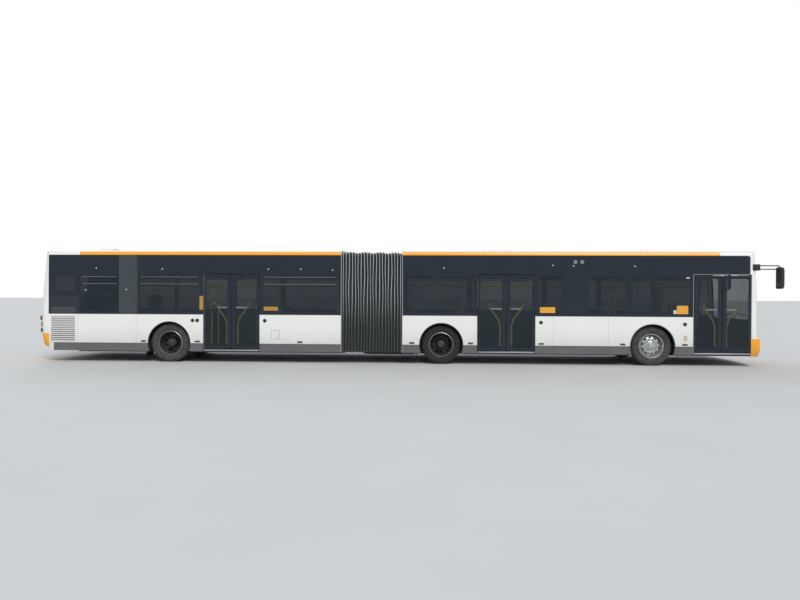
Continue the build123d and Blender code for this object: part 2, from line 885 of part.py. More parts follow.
def tyre(offset):
    """A tyre with rounded shoulders and bulging side walls."""
    half = tyre_width / 2
    inner = rim_flange_radius + seat_gap
    side_low = (inner, half - bead_inset)
    bulge = ((inner + tyre_radius) / 2, half)
    shoulder = (tyre_radius - tyre_shoulder, half - shoulder_inset)
    edge = (tyre_radius, half - shoulder_inset - tyre_shoulder)
    edges = [
        ThreePointArc(side_low, bulge, shoulder),
        Line(shoulder, edge),
        Line(edge, (edge[0], -edge[1])),
        Line((edge[0], -edge[1]), (shoulder[0], -shoulder[1])),
        ThreePointArc((shoulder[0], -shoulder[1]), (bulge[0], -bulge[1]), (side_low[0], -side_low[1])),
        Line((side_low[0], -side_low[1]), side_low),
    ]
    return Pos(0, offset, 0) * revolve(make_face(edges), Axis.Y, 360)


flange_lip = 12
flange_height = 28
bead_seat = 16
well_half = 25
well_edge = 40
well_floor = rim_well_radius + 8
well_under = rim_well_radius - 4
barrel_slope = 5
rim_join = rim_well_radius + 2
join_outer, join_inner = 20, 34


def barrel(offset):
    """A rim's barrel with its two flanges and its well."""
    half = rim_width / 2
    seat = rim_flange_radius - bead_seat
    outside = [
        (rim_flange_radius, half),
        (rim_flange_radius, half - flange_lip),
        (seat, half - join_outer),
        (seat, well_edge),
        (well_floor, well_half),
    ]
    inside = [(well_under, well_half + barrel_slope), (rim_flange_radius - flange_height, half)]
    mirrored = [(radius, -y) for radius, y in reversed(outside)]
    underneath = [(radius, -y) for radius, y in reversed(inside)]
    return turned([(radius, offset + y) for radius, y in outside + mirrored + underneath + inside])


bore = spindle_radius + spindle_clearance
hub_radius = 120
hub_back = -38
disc_face = 62
disc_crown = (220, 40)
disc_flat = 170
disc_skin = (10, 12)
cap_floor, cap_face = 96, 118
cap_radius, cap_shoulder = 78, (92, 100)
cap_foot = 112


def front_rim():
    """A steel rim whose disc bulges outward to the hub."""
    front = disc_face + disc_thick
    disc = turned(
        [
            (rim_join, -join_outer),
            (rim_join, -join_inner),
            disc_crown,
            (disc_flat, disc_face),
            (bore, disc_face),
            (bore, front),
            (disc_flat + disc_thick / 2, front),
            (disc_crown[0] + disc_skin[0], disc_crown[1] + disc_skin[1]),
        ]
    )
    hub = turned([(bore, hub_back), (hub_radius, hub_back), (hub_radius, disc_face), (bore, disc_face)])
    cap = turned(
        [
            (0, cap_floor), (0, cap_face), (cap_radius, cap_face), cap_shoulder,
            (cap_foot, front), (bore, front), (bore, cap_floor),
        ]
    )
    return barrel(0) + disc + hub + cap


dish_radius = 235
dish_step = 4
twin_hub_wall = 50
twin_hub_neck = 20
twin_hub_shoulder = 120
twin_hub_back = -60
twin_cap = 12


def twin_disc(shift, way):
    """The disc of one of the twin rims, from its barrel back to the pair's middle."""
    return turned(
        [
            (rim_join, way * (shift - join_outer)),
            (rim_join, way * (shift - join_inner)),
            (dish_radius, way * dish_step),
            (bore + twin_hub_wall, 0),
            (bore + twin_hub_wall, way * disc_thick),
            (dish_radius - flange_lip, way * (disc_thick + dish_step)),
        ]
    )


def twin_rims():
    """Two rims back to back on one hub, so that the outer one is a deep dish."""
    shift = twin_step / 2
    hub_out = shift + twin_hub_wall
    hub = turned(
        [
            (bore, twin_hub_back),
            (bore + twin_hub_wall, twin_hub_back),
            (bore + twin_hub_wall, twin_hub_shoulder),
            (bore + twin_hub_neck, hub_out),
            (0, hub_out),
            (0, hub_out - twin_cap),
            (bore, hub_out - twin_cap),
        ]
    )
    return barrel(shift) + barrel(-shift) + twin_disc(shift, 1) + twin_disc(shift, -1) + hub


def place_wheel(shape, name, side, y):
    turn = Rot(0, 0, 0) if side > 0 else Rot(0, 0, 180)
    return Pos(axle_x[name], side * y, tyre_radius) * turn * shape


single_tyre = tyre(0)
single_rim = front_rim()
twin_tyres = [tyre(twin_step / 2), tyre(-twin_step / 2)]
twin_rim = twin_rims()
twin_y = tyre_y - twin_step / 2
for side, word in ((1, "left"), (-1, "right")):
    save("front_" + word + "_tyre", place_wheel(single_tyre, "front", side, tyre_y))
    save("front_" + word + "_rim", place_wheel(single_rim, "front", side, tyre_y))
    for name in ("middle", "rear"):
        save(name + "_" + word + "_tyres", *[place_wheel(t, name, side, twin_y) for t in twin_tyres])
        save(name + "_" + word + "_rims", place_wheel(twin_rim, name, side, twin_y))

# Doors: each leaf hangs on a turning post by an arm below and an arm above it


def linkage(front, rear):
    """Width of a leaf, its hinge's distance from its trailing edge, and the arm, from the sizes."""
    leaf_width = (rear - front) / 2 - jamb_gap - centre_gap
    open_face = post_radius - post_behind_jamb + post_clearance
    start_x = jamb_gap + post_behind_jamb
    start_y = post_inboard - leaf_inset - leaf_thick / 2
    end_x = open_face + leaf_thick / 2 + post_behind_jamb
    end_y = post_inboard - open_edge - leaf_width
    hinge = (end_x**2 + end_y**2 - start_x**2 - start_y**2) / (2 * (start_x - end_y))
    arm = math.hypot(start_x + hinge, start_y)
    return leaf_width, hinge, arm, start_x + hinge, start_y


def door_leaf(jamb, way, front, rear):
    """A glazed leaf and its post, at a jamb, reaching along X by way."""
    leaf_width, hinge, arm, run, rise = linkage(front, rear)
    x_start = jamb + way * jamb_gap
    x_end = x_start + way * leaf_width
    y_out, y_in = -half_width + leaf_inset, -half_width + leaf_inset + leaf_thick
    post_x = jamb - way * post_behind_jamb
    post_y = -half_width + post_inboard
    pin_x, pin_y = post_x + way * run, post_y - rise
    leaf = block((x_start, x_end), (y_out, y_in), (leaf_bottom, leaf_top))
    pane_x = (x_start + way * leaf_border, x_end - way * leaf_border)
    pane_z = (leaf_bottom + leaf_border, leaf_top - leaf_border)
    leaf -= block(pane_x, (y_out - 1, y_in + 1), pane_z)
    hole = hinge_pin_radius + pin_clearance
    leaf -= rod(pin_x, pin_y, leaf_bottom, hole, 70, "Z") + rod(pin_x, pin_y, leaf_top, hole, 70, "Z")
    pane = block(pane_x, (y_out + 3, y_out + 3 + leaf_glass), pane_z)
    post = rod(
        post_x, post_y, (floor_top + door_height) / 2, post_radius,
        door_height - floor_top - 2 * pin_clearance, "Z",
    )
    angle = math.degrees(math.atan2(pin_y - post_y, pin_x - post_x))
    for low, pin_low, pin_high in (
        (leaf_bottom - arm_clearance - arm_thick, leaf_bottom - arm_clearance, leaf_bottom + 30),
        (leaf_top + arm_clearance, leaf_top - 30, leaf_top + arm_clearance),
    ):
        bar = Pos((post_x + pin_x) / 2, (post_y + pin_y) / 2, low + arm_thick / 2) * (
            Rot(0, 0, angle) * Box(arm, arm_width, arm_thick)
        )
        ends = rod(post_x, post_y, low + arm_thick / 2, arm_width / 2, arm_thick, "Z")
        ends += rod(pin_x, pin_y, low + arm_thick / 2, arm_width / 2, arm_thick, "Z")
        pin = rod(pin_x, pin_y, (pin_low + pin_high) / 2, hinge_pin_radius, pin_high - pin_low, "Z")
        post = post + bar + ends + pin
    return [leaf, pane], post


for name, jamb_front, jamb_rear in doors:
    for word, jamb, way in (("front", at(jamb_front), -1), ("rear", at(jamb_rear), 1)):
        leaf, post = door_leaf(jamb, way, jamb_front, jamb_rear)
        save(name + "_" + word + "_leaf", *leaf)
        save(name + "_" + word + "_post", post)

# Mirrors: an arm of two bars from the roof's corner, and a head that hangs before the door
mirror_arm_z = (2352, 2437)
mirror_bar = 13
mirror_head_z = (1880, 2400)
mirror_depth = 110
mirror_width = 220
mirror_root_x = at(300)
mirror_y = 1240
mirror_round = 30
mirror_arm_y = mirror_y - 40
mirror_post_half = 20
mirror_post_z = (mirror_head_z[1] - 60, mirror_arm_z[1] + mirror_bar)
mirrors = []
for side in (1, -1):
    head_x = front_x + mirror_reach - mirror_depth
    head = block(
        (head_x, head_x + mirror_depth),
        (side * (mirror_y - mirror_width / 2), side * (mirror_y + mirror_width / 2)),
        mirror_head_z,
    )
    head = fillet(head.edges(), mirror_round)
    arm = None
    post_x = head_x + mirror_depth / 2 - 5
    for height in mirror_arm_z:
        bar = rod(
            (mirror_root_x + post_x) / 2, side * mirror_arm_y, height, mirror_bar,
            post_x - mirror_root_x, "X",
        )
        arm = bar if arm is None else arm + bar
    arm += block(
        (post_x - mirror_post_half, post_x + mirror_post_half),
        (side * (mirror_arm_y - mirror_post_half), side * (mirror_arm_y + mirror_post_half)),
        mirror_post_z,
    )
    mirrors.append((arm + head) - front_outer)
save("mirrors", *mirrors)

# Driver's place
desk_x = (at(260), at(620))
desk_y = (250, 1080)
desk_top = 1060
wheel_centre = (at(640), 720, 1080)
wheel_tilt = 25
wheel_radius = 225
wheel_grip = 15
spoke_width, spoke_thick = 40, 16
boss = (55, 30)
column_radius, column_length = 30, 260
desk_cowl = 60
desk_lip = 120
desk_knee = 200
desk_profile = [
    (desk_x[0], floor_top),
    (desk_x[0], desk_top),
    (desk_x[1] + desk_lip, desk_top + desk_cowl),
    (desk_x[1], desk_top - desk_cowl),
    (desk_x[1] + desk_cowl, desk_top - desk_knee),
    (desk_x[1] + desk_knee, floor_top),
]
desk = along_y(polygon(desk_profile), *desk_y)
wheel_place = Pos(*wheel_centre) * Rot(0, -wheel_tilt, 0)
wheel = wheel_place * (
    Torus(wheel_radius, wheel_grip) + Box(2 * wheel_radius, spoke_width, spoke_thick) + Cylinder(*boss)
)
column = wheel_place * Pos(0, 0, -column_length / 2) * Cylinder(column_radius, column_length)
save("driver_desk", desk + wheel + column)

# Seats: station of the seat's front edge, side, distance of its middle from the centre line, base height
# and the way it faces


def seat(x, y, base, facing):
    """A shell seat on a pedestal: cushion, leaning back and foot."""
    under = seat_height - cushion_thick
    top = seat_height + seat_back
    cushion = [
        (0, seat_height),
        (seat_depth, seat_height + cushion_rise),
        (seat_depth, under + cushion_rise),
        (0, under),
    ]
    back = [
        (0, under),
        (seat_shell + seat_gap_between, under),
        (back_lean, top - back_crest),
        (-back_crest, top),
        (-seat_shell - back_lean, top - seat_shell),
        (-seat_shell, seat_height - back_crest),
    ]
    foot_top = under + cushion_rise
    foot = [(foot_foot[0], 0), (foot_foot[1], 0), (foot_head[1], foot_top), (foot_head[0], foot_top)]
    shape = along_y(polygon(cushion), -seat_width / 2, seat_width / 2)
    shape += along_y(polygon(back), -seat_width / 2, seat_width / 2)
    shape += along_y(polygon(foot), -foot_half, foot_half)
    turn = Rot(0, 0, 0) if facing > 0 else Rot(0, 0, 180)
    return Pos(x, y, base) * turn * shape


seat_outer = inner_half - seat_width / 2 - seat_wall_gap
seat_inner = seat_outer - seat_width - seat_gap_between
window_and_aisle = (seat_outer, seat_inner)

# Rows of seats: station of the back's foot, side, offsets from the centre line, floor under them, facing
seat_pitch = 750
rear_row = before_rear(1380)
podium_pitch = 800
front_rows = []
for station in (stations["front"] + 1200, stations["front"] + 1200 + seat_pitch):
    for side in (1, -1):
        front_rows.append((station, side, window_and_aisle, floor_top, 1))
front_rows.append((stations["middle"] - 1105, 1, window_and_aisle, floor_top, 1))
rear_rows = [
    (bellows_end + 989, 1, window_and_aisle, floor_top, 1),
    (bellows_end + 989, -1, window_and_aisle, floor_top, 1),
    (bellows_end + 989 + seat_pitch, 1, window_and_aisle, floor_top, 1),
    (stations["rear"] - 675, 1, window_and_aisle, floor_top, 1),
]
for station in (rear_row - podium_pitch, rear_row):
    for side in (1, -1):
        rear_rows.append((station, side, window_and_aisle, podium_top, 1))


def seats(rows):
    places = []
    for station, side, offsets, base, facing in rows:
        for offset in offsets:
            places.append(seat(at(station), side * offset, base, facing))
    return places


driver_station = 1420
driver_step = 120
stand_half = 150
driver_x = at(driver_station)
driver_seat = seat(driver_x, wheel_centre[1], floor_top + driver_step, 1)
driver_stand = block(
    (driver_x + 60, driver_x + 60 + 1.8 * stand_half),
    (wheel_centre[1] - stand_half, wheel_centre[1] + stand_half),
    (floor_top, floor_top + driver_step),
)
save("front_seats", driver_seat + driver_stand, *seats(front_rows))
save("rear_seats", *seats(rear_rows))

# Handrails: stations of the upright poles on each side, with a rail overhead between them
front_poles = [1850, 3300, 4000, 5300, stations["middle"] - 605, bellows_start - 270]
rear_poles = [bellows_end + 239, doors[2][1] - 162, doors[2][2] + 148, stations["rear"] + 325]
pole_y = seat_inner - seat_width / 2 - 28


def handrails(pole_stations, base):
    pieces = []
    for side in (1, -1):
        first, last = at(pole_stations[0]), at(pole_stations[-1])
        rail = rod((first + last) / 2, side * pole_y, rail_height, rail_radius, first - last, "X")
        for station in pole_stations:
            rail += rod(at(station), side * pole_y, (base + rail_height) / 2, rail_radius,
                        rail_height - base, "Z")
        pieces.append(rail)
    return pieces


save("front_handrails", *handrails(front_poles, floor_top))
save("rear_handrails", *handrails(rear_poles, floor_top))

# Engine, as one block in the bay
engine_gap = 60
engine_length = 600
engine_y = (-750, 450)
engine_z = (330, 1080)
mount_inset = 250
mount_z = (420, 560)
engine_x = (bulkhead_x - engine_gap, bulkhead_x - engine_gap - engine_length)
engine = block(engine_x, engine_y, engine_z)
engine_mounts = block(
    (bulkhead_x, engine_x[0]), (engine_y[0] + mount_inset, engine_y[1] - mount_inset), mount_z
)
save("engine", engine + engine_mounts)

for name, shape in nodes.items():
    export_step(shape, "parts/" + name + ".step")
print(len(nodes), "nodes")
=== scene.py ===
import bmesh
import bpy
from math import asin, atan2, cos, pi, radians, sin, sqrt
from mathutils import Matrix, Vector


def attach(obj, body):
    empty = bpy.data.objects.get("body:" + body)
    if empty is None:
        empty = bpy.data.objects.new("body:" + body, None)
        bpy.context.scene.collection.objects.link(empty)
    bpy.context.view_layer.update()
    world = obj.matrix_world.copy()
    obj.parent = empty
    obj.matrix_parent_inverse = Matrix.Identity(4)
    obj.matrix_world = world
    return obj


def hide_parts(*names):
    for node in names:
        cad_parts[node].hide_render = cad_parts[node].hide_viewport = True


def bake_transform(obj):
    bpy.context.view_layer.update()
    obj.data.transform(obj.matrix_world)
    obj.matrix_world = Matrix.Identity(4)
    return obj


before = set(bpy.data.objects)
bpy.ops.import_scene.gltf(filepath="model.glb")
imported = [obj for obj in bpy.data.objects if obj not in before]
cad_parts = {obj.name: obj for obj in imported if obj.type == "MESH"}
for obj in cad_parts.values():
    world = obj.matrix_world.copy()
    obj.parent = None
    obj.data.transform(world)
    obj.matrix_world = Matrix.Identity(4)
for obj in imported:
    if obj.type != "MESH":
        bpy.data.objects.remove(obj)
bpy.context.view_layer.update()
scene = bpy.context.scene

# Sizes in metres, as the solids have them. X forward, Y left, Z up from the road.
FRONT, REAR, HALF = 8.8025, -9.1775, 1.25
ROOF_TOP, COVE_TOP, COVE_WIDTH, WALL_TOP, PANE_TOP = 2.812, 2.785, 0.15, 2.672, 2.668
BELT, SKIRT_TOP, SKIRT_BOTTOM = 1.191, 0.475, 0.279
FLOOR, PODIUM, DOOR_TOP = 0.32, 0.62, 2.215
AXLES = {"front": 6.1025, "middle": 0.9975, "rear": -5.7725}
TYRE_RADIUS, TYRE_Y, TWIN_STEP, ARCH = 0.4785, 1.0545, 0.32, 0.525
DOORS = {"door_1": (8.4325, 7.0735), "door_2": (3.2745, 1.8845), "door_3": (-3.5095, -4.8995)}
BELLOWS = (-1.4585, 0.0325)
LEFT, RIGHT = 1, -1
SIDES = {"left": LEFT, "right": RIGHT}


def at(behind):
    """X of a station given in metres behind the front face."""
    return FRONT - behind


def car_at(x):
    """The car that a station belongs to."""
    return "front_car" if x > BELLOWS[0] else "rear_car"


# Node graphs


class Value:
    """One output socket, so that maths on it reads as Python."""

    def __init__(self, graph, socket):
        self.graph, self.socket = graph, socket

    def output(self, name):
        """Another output of the same node."""
        return Value(self.graph, self.socket.node.outputs[name])

    def maths(self, operation, *others):
        return self.graph.maths(operation, self, *others)

    def __add__(self, other):
        return self.maths("ADD", other)

    def __sub__(self, other):
        return self.maths("SUBTRACT", other)

    def __rsub__(self, other):
        return self.graph.maths("SUBTRACT", other, self)

    def __mul__(self, other):
        return self.maths("MULTIPLY", other)

    def __truediv__(self, other):
        return self.maths("DIVIDE", other)

    def __abs__(self):
        return self.maths("ABSOLUTE")

    __radd__, __rmul__ = __add__, __mul__

    def above(self, level, soft=0.0005):
        """0 below a level and 1 above it, over a short ramp."""
        ramp = {0: self, 1: level - soft, 2: level + soft}
        return self.graph.add("ShaderNodeMapRange", ramp, interpolation_type="SMOOTHSTEP")

    def below(self, level, soft=0.0005):
        return 1 - self.above(level, soft)

    def between(self, low, high, soft=0.0005):
        return self.above(low, soft) * self.below(high, soft)


class Graph:
    """The nodes of one material or geometry tree."""

    def __init__(self, tree):
        self.tree = tree

    def add(self, kind, inputs=None, output=0, **settings):
        """Adds a node: its settings first, then the values or links of its sockets."""
        node = self.tree.nodes.new(kind)
        for name, value in settings.items():
            setattr(node, name, value)
        for name, value in (inputs or {}).items():
            self.feed(node.inputs[name], value)
        return Value(self, node.outputs[output])

    def feed(self, socket, value):
        if isinstance(value, Value):
            self.tree.links.new(value.socket, socket)
        else:
            socket.default_value = value

    def maths(self, operation, *values):
        return self.add("ShaderNodeMath", dict(enumerate(values)), operation=operation)

    def vector(self, x, y, z):
        return self.add("ShaderNodeCombineXYZ", {0: x, 1: y, 2: z})

    def place(self):
        return self.add("ShaderNodeTexCoord", output="Object")

    def form_of(self, made):
        """The geometry of an object."""
        return self.add("GeometryNodeObjectInfo", {"Object": made}, "Geometry")

    def xyz(self, vector=None):
        parts = self.add("ShaderNodeSeparateXYZ", {0: vector or self.place()})
        return [parts.output(axis) for axis in "XYZ"]

    def noise(self, scale, detail=4.0, rough=0.55, stretch=(1, 1, 1)):
        """Fine mottling in Object space, from 0 to 1."""
        place = self.add("ShaderNodeVectorMath", {0: self.place(), 1: stretch}, operation="MULTIPLY")
        inputs = {"Vector": place, "Scale": scale, "Detail": detail, "Roughness": rough}
        return self.add("ShaderNodeTexNoise", inputs)

    def blend(self, share, first, second):
        """A colour between two, by a share from 0 to 1."""
        first, second = (c if isinstance(c, Value) else (*c, 1) for c in (first, second))
        return self.add("ShaderNodeMix", {0: share, 6: first, 7: second}, 2, data_type="RGBA")


class Finish:
    """A material with a Principled shader and its graph."""

    def __init__(self, name, **values):
        self.material = bpy.data.materials.new(name)
        self.material.use_nodes = True
        self.graph = Graph(self.material.node_tree)
        self.shader = self.material.node_tree.nodes["Principled BSDF"]
        self.set(**values)

    def set(self, **values):
        for name, value in values.items():
            if isinstance(value, tuple) and len(value) == 3:
                value = (*value, 1)
            self.graph.feed(self.shader.inputs[name.replace("_", " ")], value)
        return self

    def dress(self, colour, rough, height, strength, distance):
        """Sets the colour, the roughness and a fine relief."""
        relief = {"Height": height, "Strength": strength, "Distance": distance}
        normal = self.graph.add("ShaderNodeBump", relief)
        return self.set(Base_Color=colour, Roughness=rough, Normal=normal)


# Colours
WHITE = (0.9, 0.9, 0.865)
AMBER = (0.98, 0.4, 0.008)
SKIRT = (0.076, 0.084, 0.102)
BLACK = (0.008, 0.013, 0.022)
COLD = (0.78, 0.9, 1.0)
DUST = (0.23, 0.21, 0.18)
LINING = (0.42, 0.43, 0.43)
CHASSIS = (0.03, 0.03, 0.032)
BAR_WHITE = (0.9, 0.9, 0.88)
RAIL_YELLOW = (0.95, 0.76, 0.07)


def shade(colour, share):
    return tuple(c * share for c in colour)


def outer_skin(g):
    """1 where a wall's face looks out of the body, 0 where it looks in or lies in a reveal."""
    x, y, z = g.xyz()
    outward = g.vector(x * 0.1, y, (z - 1.5) * 0.6)
    normal = g.add("ShaderNodeNewGeometry", output="Normal")
    facing = g.add("ShaderNodeVectorMath", {0: outward, 1: normal}, "Value", operation="DOT_PRODUCT")
    return facing.above(0.05, 0.02)


def body_paint(name, zones):
    """Coach paint: white with coloured zones, road dirt, and a lining colour on the inner faces."""
    finish = Finish(name, Coat_Weight=0.35, Coat_Roughness=0.08)
    g = finish.graph
    colour = g.blend(g.noise(1.3, 3.0), WHITE, shade(WHITE, 0.93))
    x, y, z = g.xyz()
    for zone, paint in zones(x, y, z):
        colour = g.blend(zone, colour, paint)
    patches, streaks = g.noise(7.0, 7.0, 0.65), g.noise(4.0, 3.0, 0.5, (7, 7, 0.35))
    dirt = z.below(0.55, 0.45) * (patches * 0.7 + streaks * 0.6) * 0.55
    dirt = dirt + z.above(2.72, 0.1) * patches * 0.25 + streaks.above(0.66, 0.1) * 0.06
    colour = g.blend(dirt, colour, DUST)
    outside = outer_skin(g)
    colour = g.blend(outside, g.blend(z.below(0.335), LINING, CHASSIS), colour)
    rough = 0.3 + dirt * 0.5 + (1 - outside) * 0.25
    return finish.dress(colour, rough, g.noise(0.9, 2.0), 0.25, 0.012)


def wall_zones(x, y, z):
    """A grey skirt, and black above the belt."""
    return [(z.below(SKIRT_TOP) * x.above(-8.71), SKIRT), (z.above(BELT), BLACK)]


def mask_zones(x, y, z):
    """Black over the front door, with a round corner, and round the rear corner above the belt."""
    front_edge, radius = 8.405, 0.05
    across, up = x - (front_edge - radius), z - (PANE_TOP - radius)
    cut = (across * across + up * up).maths("SQRT").above(radius) * across.above(0) * up.above(0)
    over_door = z.between(DOOR_TOP - 0.002, PANE_TOP) * x.between(0, front_edge) * (1 - cut)
    return [(over_door, BLACK), (x.between(-8.842, 0) * z.between(BELT, PANE_TOP), BLACK)]


def roof_zones(x, y, z):
    """An amber line along both coves."""
    cove = abs(y).above(1.085, 0.002) * x.between(-8.042, 7.693, 0.002) * z.below(2.756, 0.003)
    return [(cove, AMBER)]


coach_paint = body_paint("coach_paint", wall_zones)
mask_paint = body_paint("mask_paint", mask_zones)
roof_paint = body_paint("roof_paint", roof_zones)

amber_paint = Finish("amber_bumper_paint", Coat_Weight=0.12)
g = amber_paint.graph
patches, streaks = g.noise(9.0, 6.0, 0.65), g.noise(5.0, 3.0, 0.5, (6, 6, 0.5))
low = g.xyz()[2].below(0.42, 0.22)
dirt = low * (patches + streaks) * 0.375 + streaks.above(0.62, 0.12) * 0.05
amber_paint.dress(g.blend(dirt, AMBER, (0.18, 0.11, 0.05)), 0.5, g.noise(60, 2), 0.08, 0.0006)

black_print = Finish("black_glazing_band", Specular_IOR_Level=0.5, Specular_Tint=COLD)
g = black_print.graph
mottle = g.noise(2.2, 4.0)
x, y = g.xyz()[:2]
pillar = x.between(-7.045, -6.572, 0.004) * y.below(0)
tone = g.blend(mottle, BLACK, (0.018, 0.021, 0.027))
colour = g.blend(pillar, tone, (0.05, 0.058, 0.062))
black_print.dress(colour, 0.06 + mottle * 0.1, g.noise(0.8, 1.0), 0.12, 0.01)


def pane_finish(name, tint, alpha, rough):
    """Glass that shows what is behind it, with a thin film of dirt."""
    finish = Finish(name, Specular_IOR_Level=0.42, Specular_Tint=COLD)
    g = finish.graph
    film = g.noise(3.0, 6.0, 0.6, (1, 1, 0.4))
    colour = g.blend(film, tint, tuple(c + 0.02 for c in tint))
    finish.set(Alpha=alpha + film * 0.08)
    return finish.dress(colour, rough + film * 0.07, g.noise(0.7, 1.0), 0.1, 0.01)


tinted_glass = pane_finish("tinted_window_glass", (0.008, 0.015, 0.022), 0.61, 0.03)
door_glass = pane_finish("door_glass", (0.01, 0.02, 0.027), 0.46, 0.03)
screen_glass = pane_finish("windscreen_glass", (0.01, 0.016, 0.016), 0.3, 0.02)
lamp_cover = pane_finish("lamp_cover_glass", (0.45, 0.47, 0.48), 0.12, 0.03)


def plain(name, colour, rough, grain, strength, shift=0.75, distance=0.0008, **values):
    """A finish with mottled colour, worn roughness and a fine grain."""
    finish = Finish(name, **values)
    g = finish.graph
    patches = g.noise(grain * 0.12, 5.0, 0.6)
    colour = g.blend(patches, colour, shade(colour, shift))
    return finish.dress(colour, rough - 0.08 + patches * 0.16, g.noise(grain, 3.0, 0.6), strength, distance)


# Plain finishes: colour, roughness, grain and how deep the grain is
rubber = plain("black_rubber", (0.018, 0.018, 0.019), 0.62, 260, 0.25)
black_plastic = plain("grained_black_plastic", (0.02, 0.02, 0.022), 0.48, 420, 0.35)
grey_plastic = plain("grey_plastic", (0.16, 0.165, 0.175), 0.5, 380, 0.25)
aluminium = plain("dull_aluminium", (0.55, 0.56, 0.57), 0.38, 300, 0.15, shift=0.8, Metallic=0.9)
# The grab bar glows a little though it is no lamp: painted light.
grab_bar = plain("light_grab_bar", BAR_WHITE, 0.34, 240, 0.08, shift=0.94,
                 Emission_Color=BAR_WHITE, Emission_Strength=0.5)
# The yellow rails glow a little though they are no lamps: painted light.
yellow_rail = plain("yellow_rail_coat", RAIL_YELLOW, 0.42, 500, 0.15, shift=0.92,
                    Emission_Color=RAIL_YELLOW, Emission_Strength=0.14)
chassis = plain("chassis_paint", CHASSIS, 0.62, 90, 0.45, shift=2.4, distance=0.0015)
cast_grey = plain("cast_engine_grey", (0.13, 0.13, 0.13), 0.6, 110, 0.5, distance=0.0015, Metallic=0.3)
rim_dark = plain("dusty_rim_steel", (0.035, 0.034, 0.034), 0.55, 120, 0.35, shift=2.2, Metallic=0.35)
trim_panel = plain("interior_trim", (0.36, 0.37, 0.38), 0.55, 300, 0.2, shift=0.9)
ceiling_panel = plain("ceiling_panel", (0.52, 0.53, 0.53), 0.55, 300, 0.15, shift=0.92)
seat_shell = plain("seat_shell_plastic", (0.1, 0.105, 0.115), 0.45, 300, 0.2)
white_dot = plain("white_plastic", (0.7, 0.7, 0.7), 0.35, 300, 0.1)
pale_disc = plain("pale_disc_plastic", (0.22, 0.27, 0.32), 0.35, 300, 0.1)
jamb_light = plain("light_jamb_coat", (0.4, 0.41, 0.42), 0.42, 300, 0.1)
yellow_film = plain("yellow_film", (0.88, 0.42, 0.04), 0.45, 200, 0.1, shift=0.85)
orange_film = plain("orange_film", (0.5, 0.27, 0.045), 0.5, 200, 0.1, shift=0.85)
pink_film = plain("pale_red_film", (0.7, 0.5, 0.46), 0.5, 200, 0.1)
red_lens = plain("red_lens", (0.5, 0.012, 0.015), 0.18, 30, 0.3, Coat_Weight=0.6)
clear_lens = plain("clear_lens", (0.55, 0.55, 0.56), 0.15, 30, 0.3, shift=0.8, Coat_Weight=0.6)
amber_lens = plain("amber_lens", (0.55, 0.13, 0.01), 0.22, 30, 0.3, Coat_Weight=0.5)
side_lens = plain("dark_side_lamp", (0.14, 0.03, 0.016), 0.22, 30, 0.3, Coat_Weight=0.5)
lamp_bowl = plain("lamp_reflector", (0.8, 0.8, 0.8), 0.14, 40, 0.1, Metallic=1.0)

tyre_rubber = Finish("tyre_rubber", Specular_IOR_Level=0.3)
g = tyre_rubber.graph
dusty = g.noise(14, 6.0, 0.7).above(0.45, 0.25)
# The middle axle's tyres get a darker dust tone, which is painted shade; the dusty patches themselves are
# real dust.
painted_shade_zone = g.xyz()[0].between(-1.0, 3.0)
dust_with_painted_shade = g.blend(painted_shade_zone, (0.092, 0.09, 0.085), (0.034, 0.033, 0.032))
colour = g.blend(dusty, (0.02, 0.02, 0.02), dust_with_painted_shade)
tyre_rubber.dress(colour, 0.72 + dusty * 0.2, g.noise(180, 4), 0.35, 0.0012)

rim_bright = Finish("bright_rim_steel", Metallic=0.85)
g = rim_bright.graph
grime = g.noise(22, 6.0, 0.7).above(0.58, 0.14)
colour = g.blend(grime, (0.6, 0.61, 0.62), (0.13, 0.12, 0.11))
rim_bright.dress(colour, 0.34 + grime * 0.4, g.noise(240, 3), 0.2, 0.0006)

floor_cover = Finish("speckled_floor")
g = floor_cover.graph
speck = g.noise(420, 2.0, 0.8)
colour = g.blend(speck.above(0.6, 0.05), (0.055, 0.062, 0.07), (0.22, 0.23, 0.24))
floor_cover.dress(colour, 0.55 + g.noise(3, 4) * 0.2, speck, 0.15, 0.0005)

bellows_cloth = Finish("bellows_cloth", Sheen_Weight=0.15)
g = bellows_cloth.graph
x, z = g.xyz()[::2]
weave = (x * 2600).maths("SINE") * (z * 2600).maths("SINE")
soot = g.noise(6, 6.0, 0.65, (1, 1, 0.4))
tone = g.blend(soot, (0.012, 0.016, 0.019), (0.03, 0.036, 0.041))
colour = g.blend(z.below(1.0, 0.7) * 0.55, tone, (0.01, 0.013, 0.015))
bellows_cloth.dress(colour, 0.66 + soot * 0.2, weave * 0.5 + g.noise(90, 3), 0.3, 0.0012)

binding = Finish("bellows_binding")
g = binding.graph
worn = g.noise(7.2, 5.0, 0.6)
painted_lit_top_tone = g.blend(worn, (0.86, 0.9, 0.92), (0.34, 0.37, 0.39))
# The binding is pale above 1.35 m and dark below it: painted light at the top and painted shade lower down,
# with worn patches.
colour = g.blend(g.xyz()[2].below(1.35, 0.55), painted_lit_top_tone, (0.115, 0.135, 0.135))
binding.dress(colour, 0.44 + worn * 0.16, g.noise(60, 3), 0.3, 0.0008)

seat_cloth = Finish("seat_moquette", Sheen_Weight=0.25)
g = seat_cloth.graph
x, y = g.xyz()[:2]
cells = g.add("ShaderNodeTexVoronoi", {"Vector": g.place(), "Scale": 38.0}, feature="F1")
dots = cells.below(0.22, 0.04)
tone = g.blend(g.noise(260, 2), (0.03, 0.045, 0.105), (0.055, 0.072, 0.14))
pile = (x * 2000).maths("SINE") * (y * 2000).maths("SINE") + g.noise(500, 2)
seat_cloth.dress(g.blend(dots, tone, (0.28, 0.13, 0.03)), 0.85 + dots * 0.05, pile, 0.3, 0.0012)

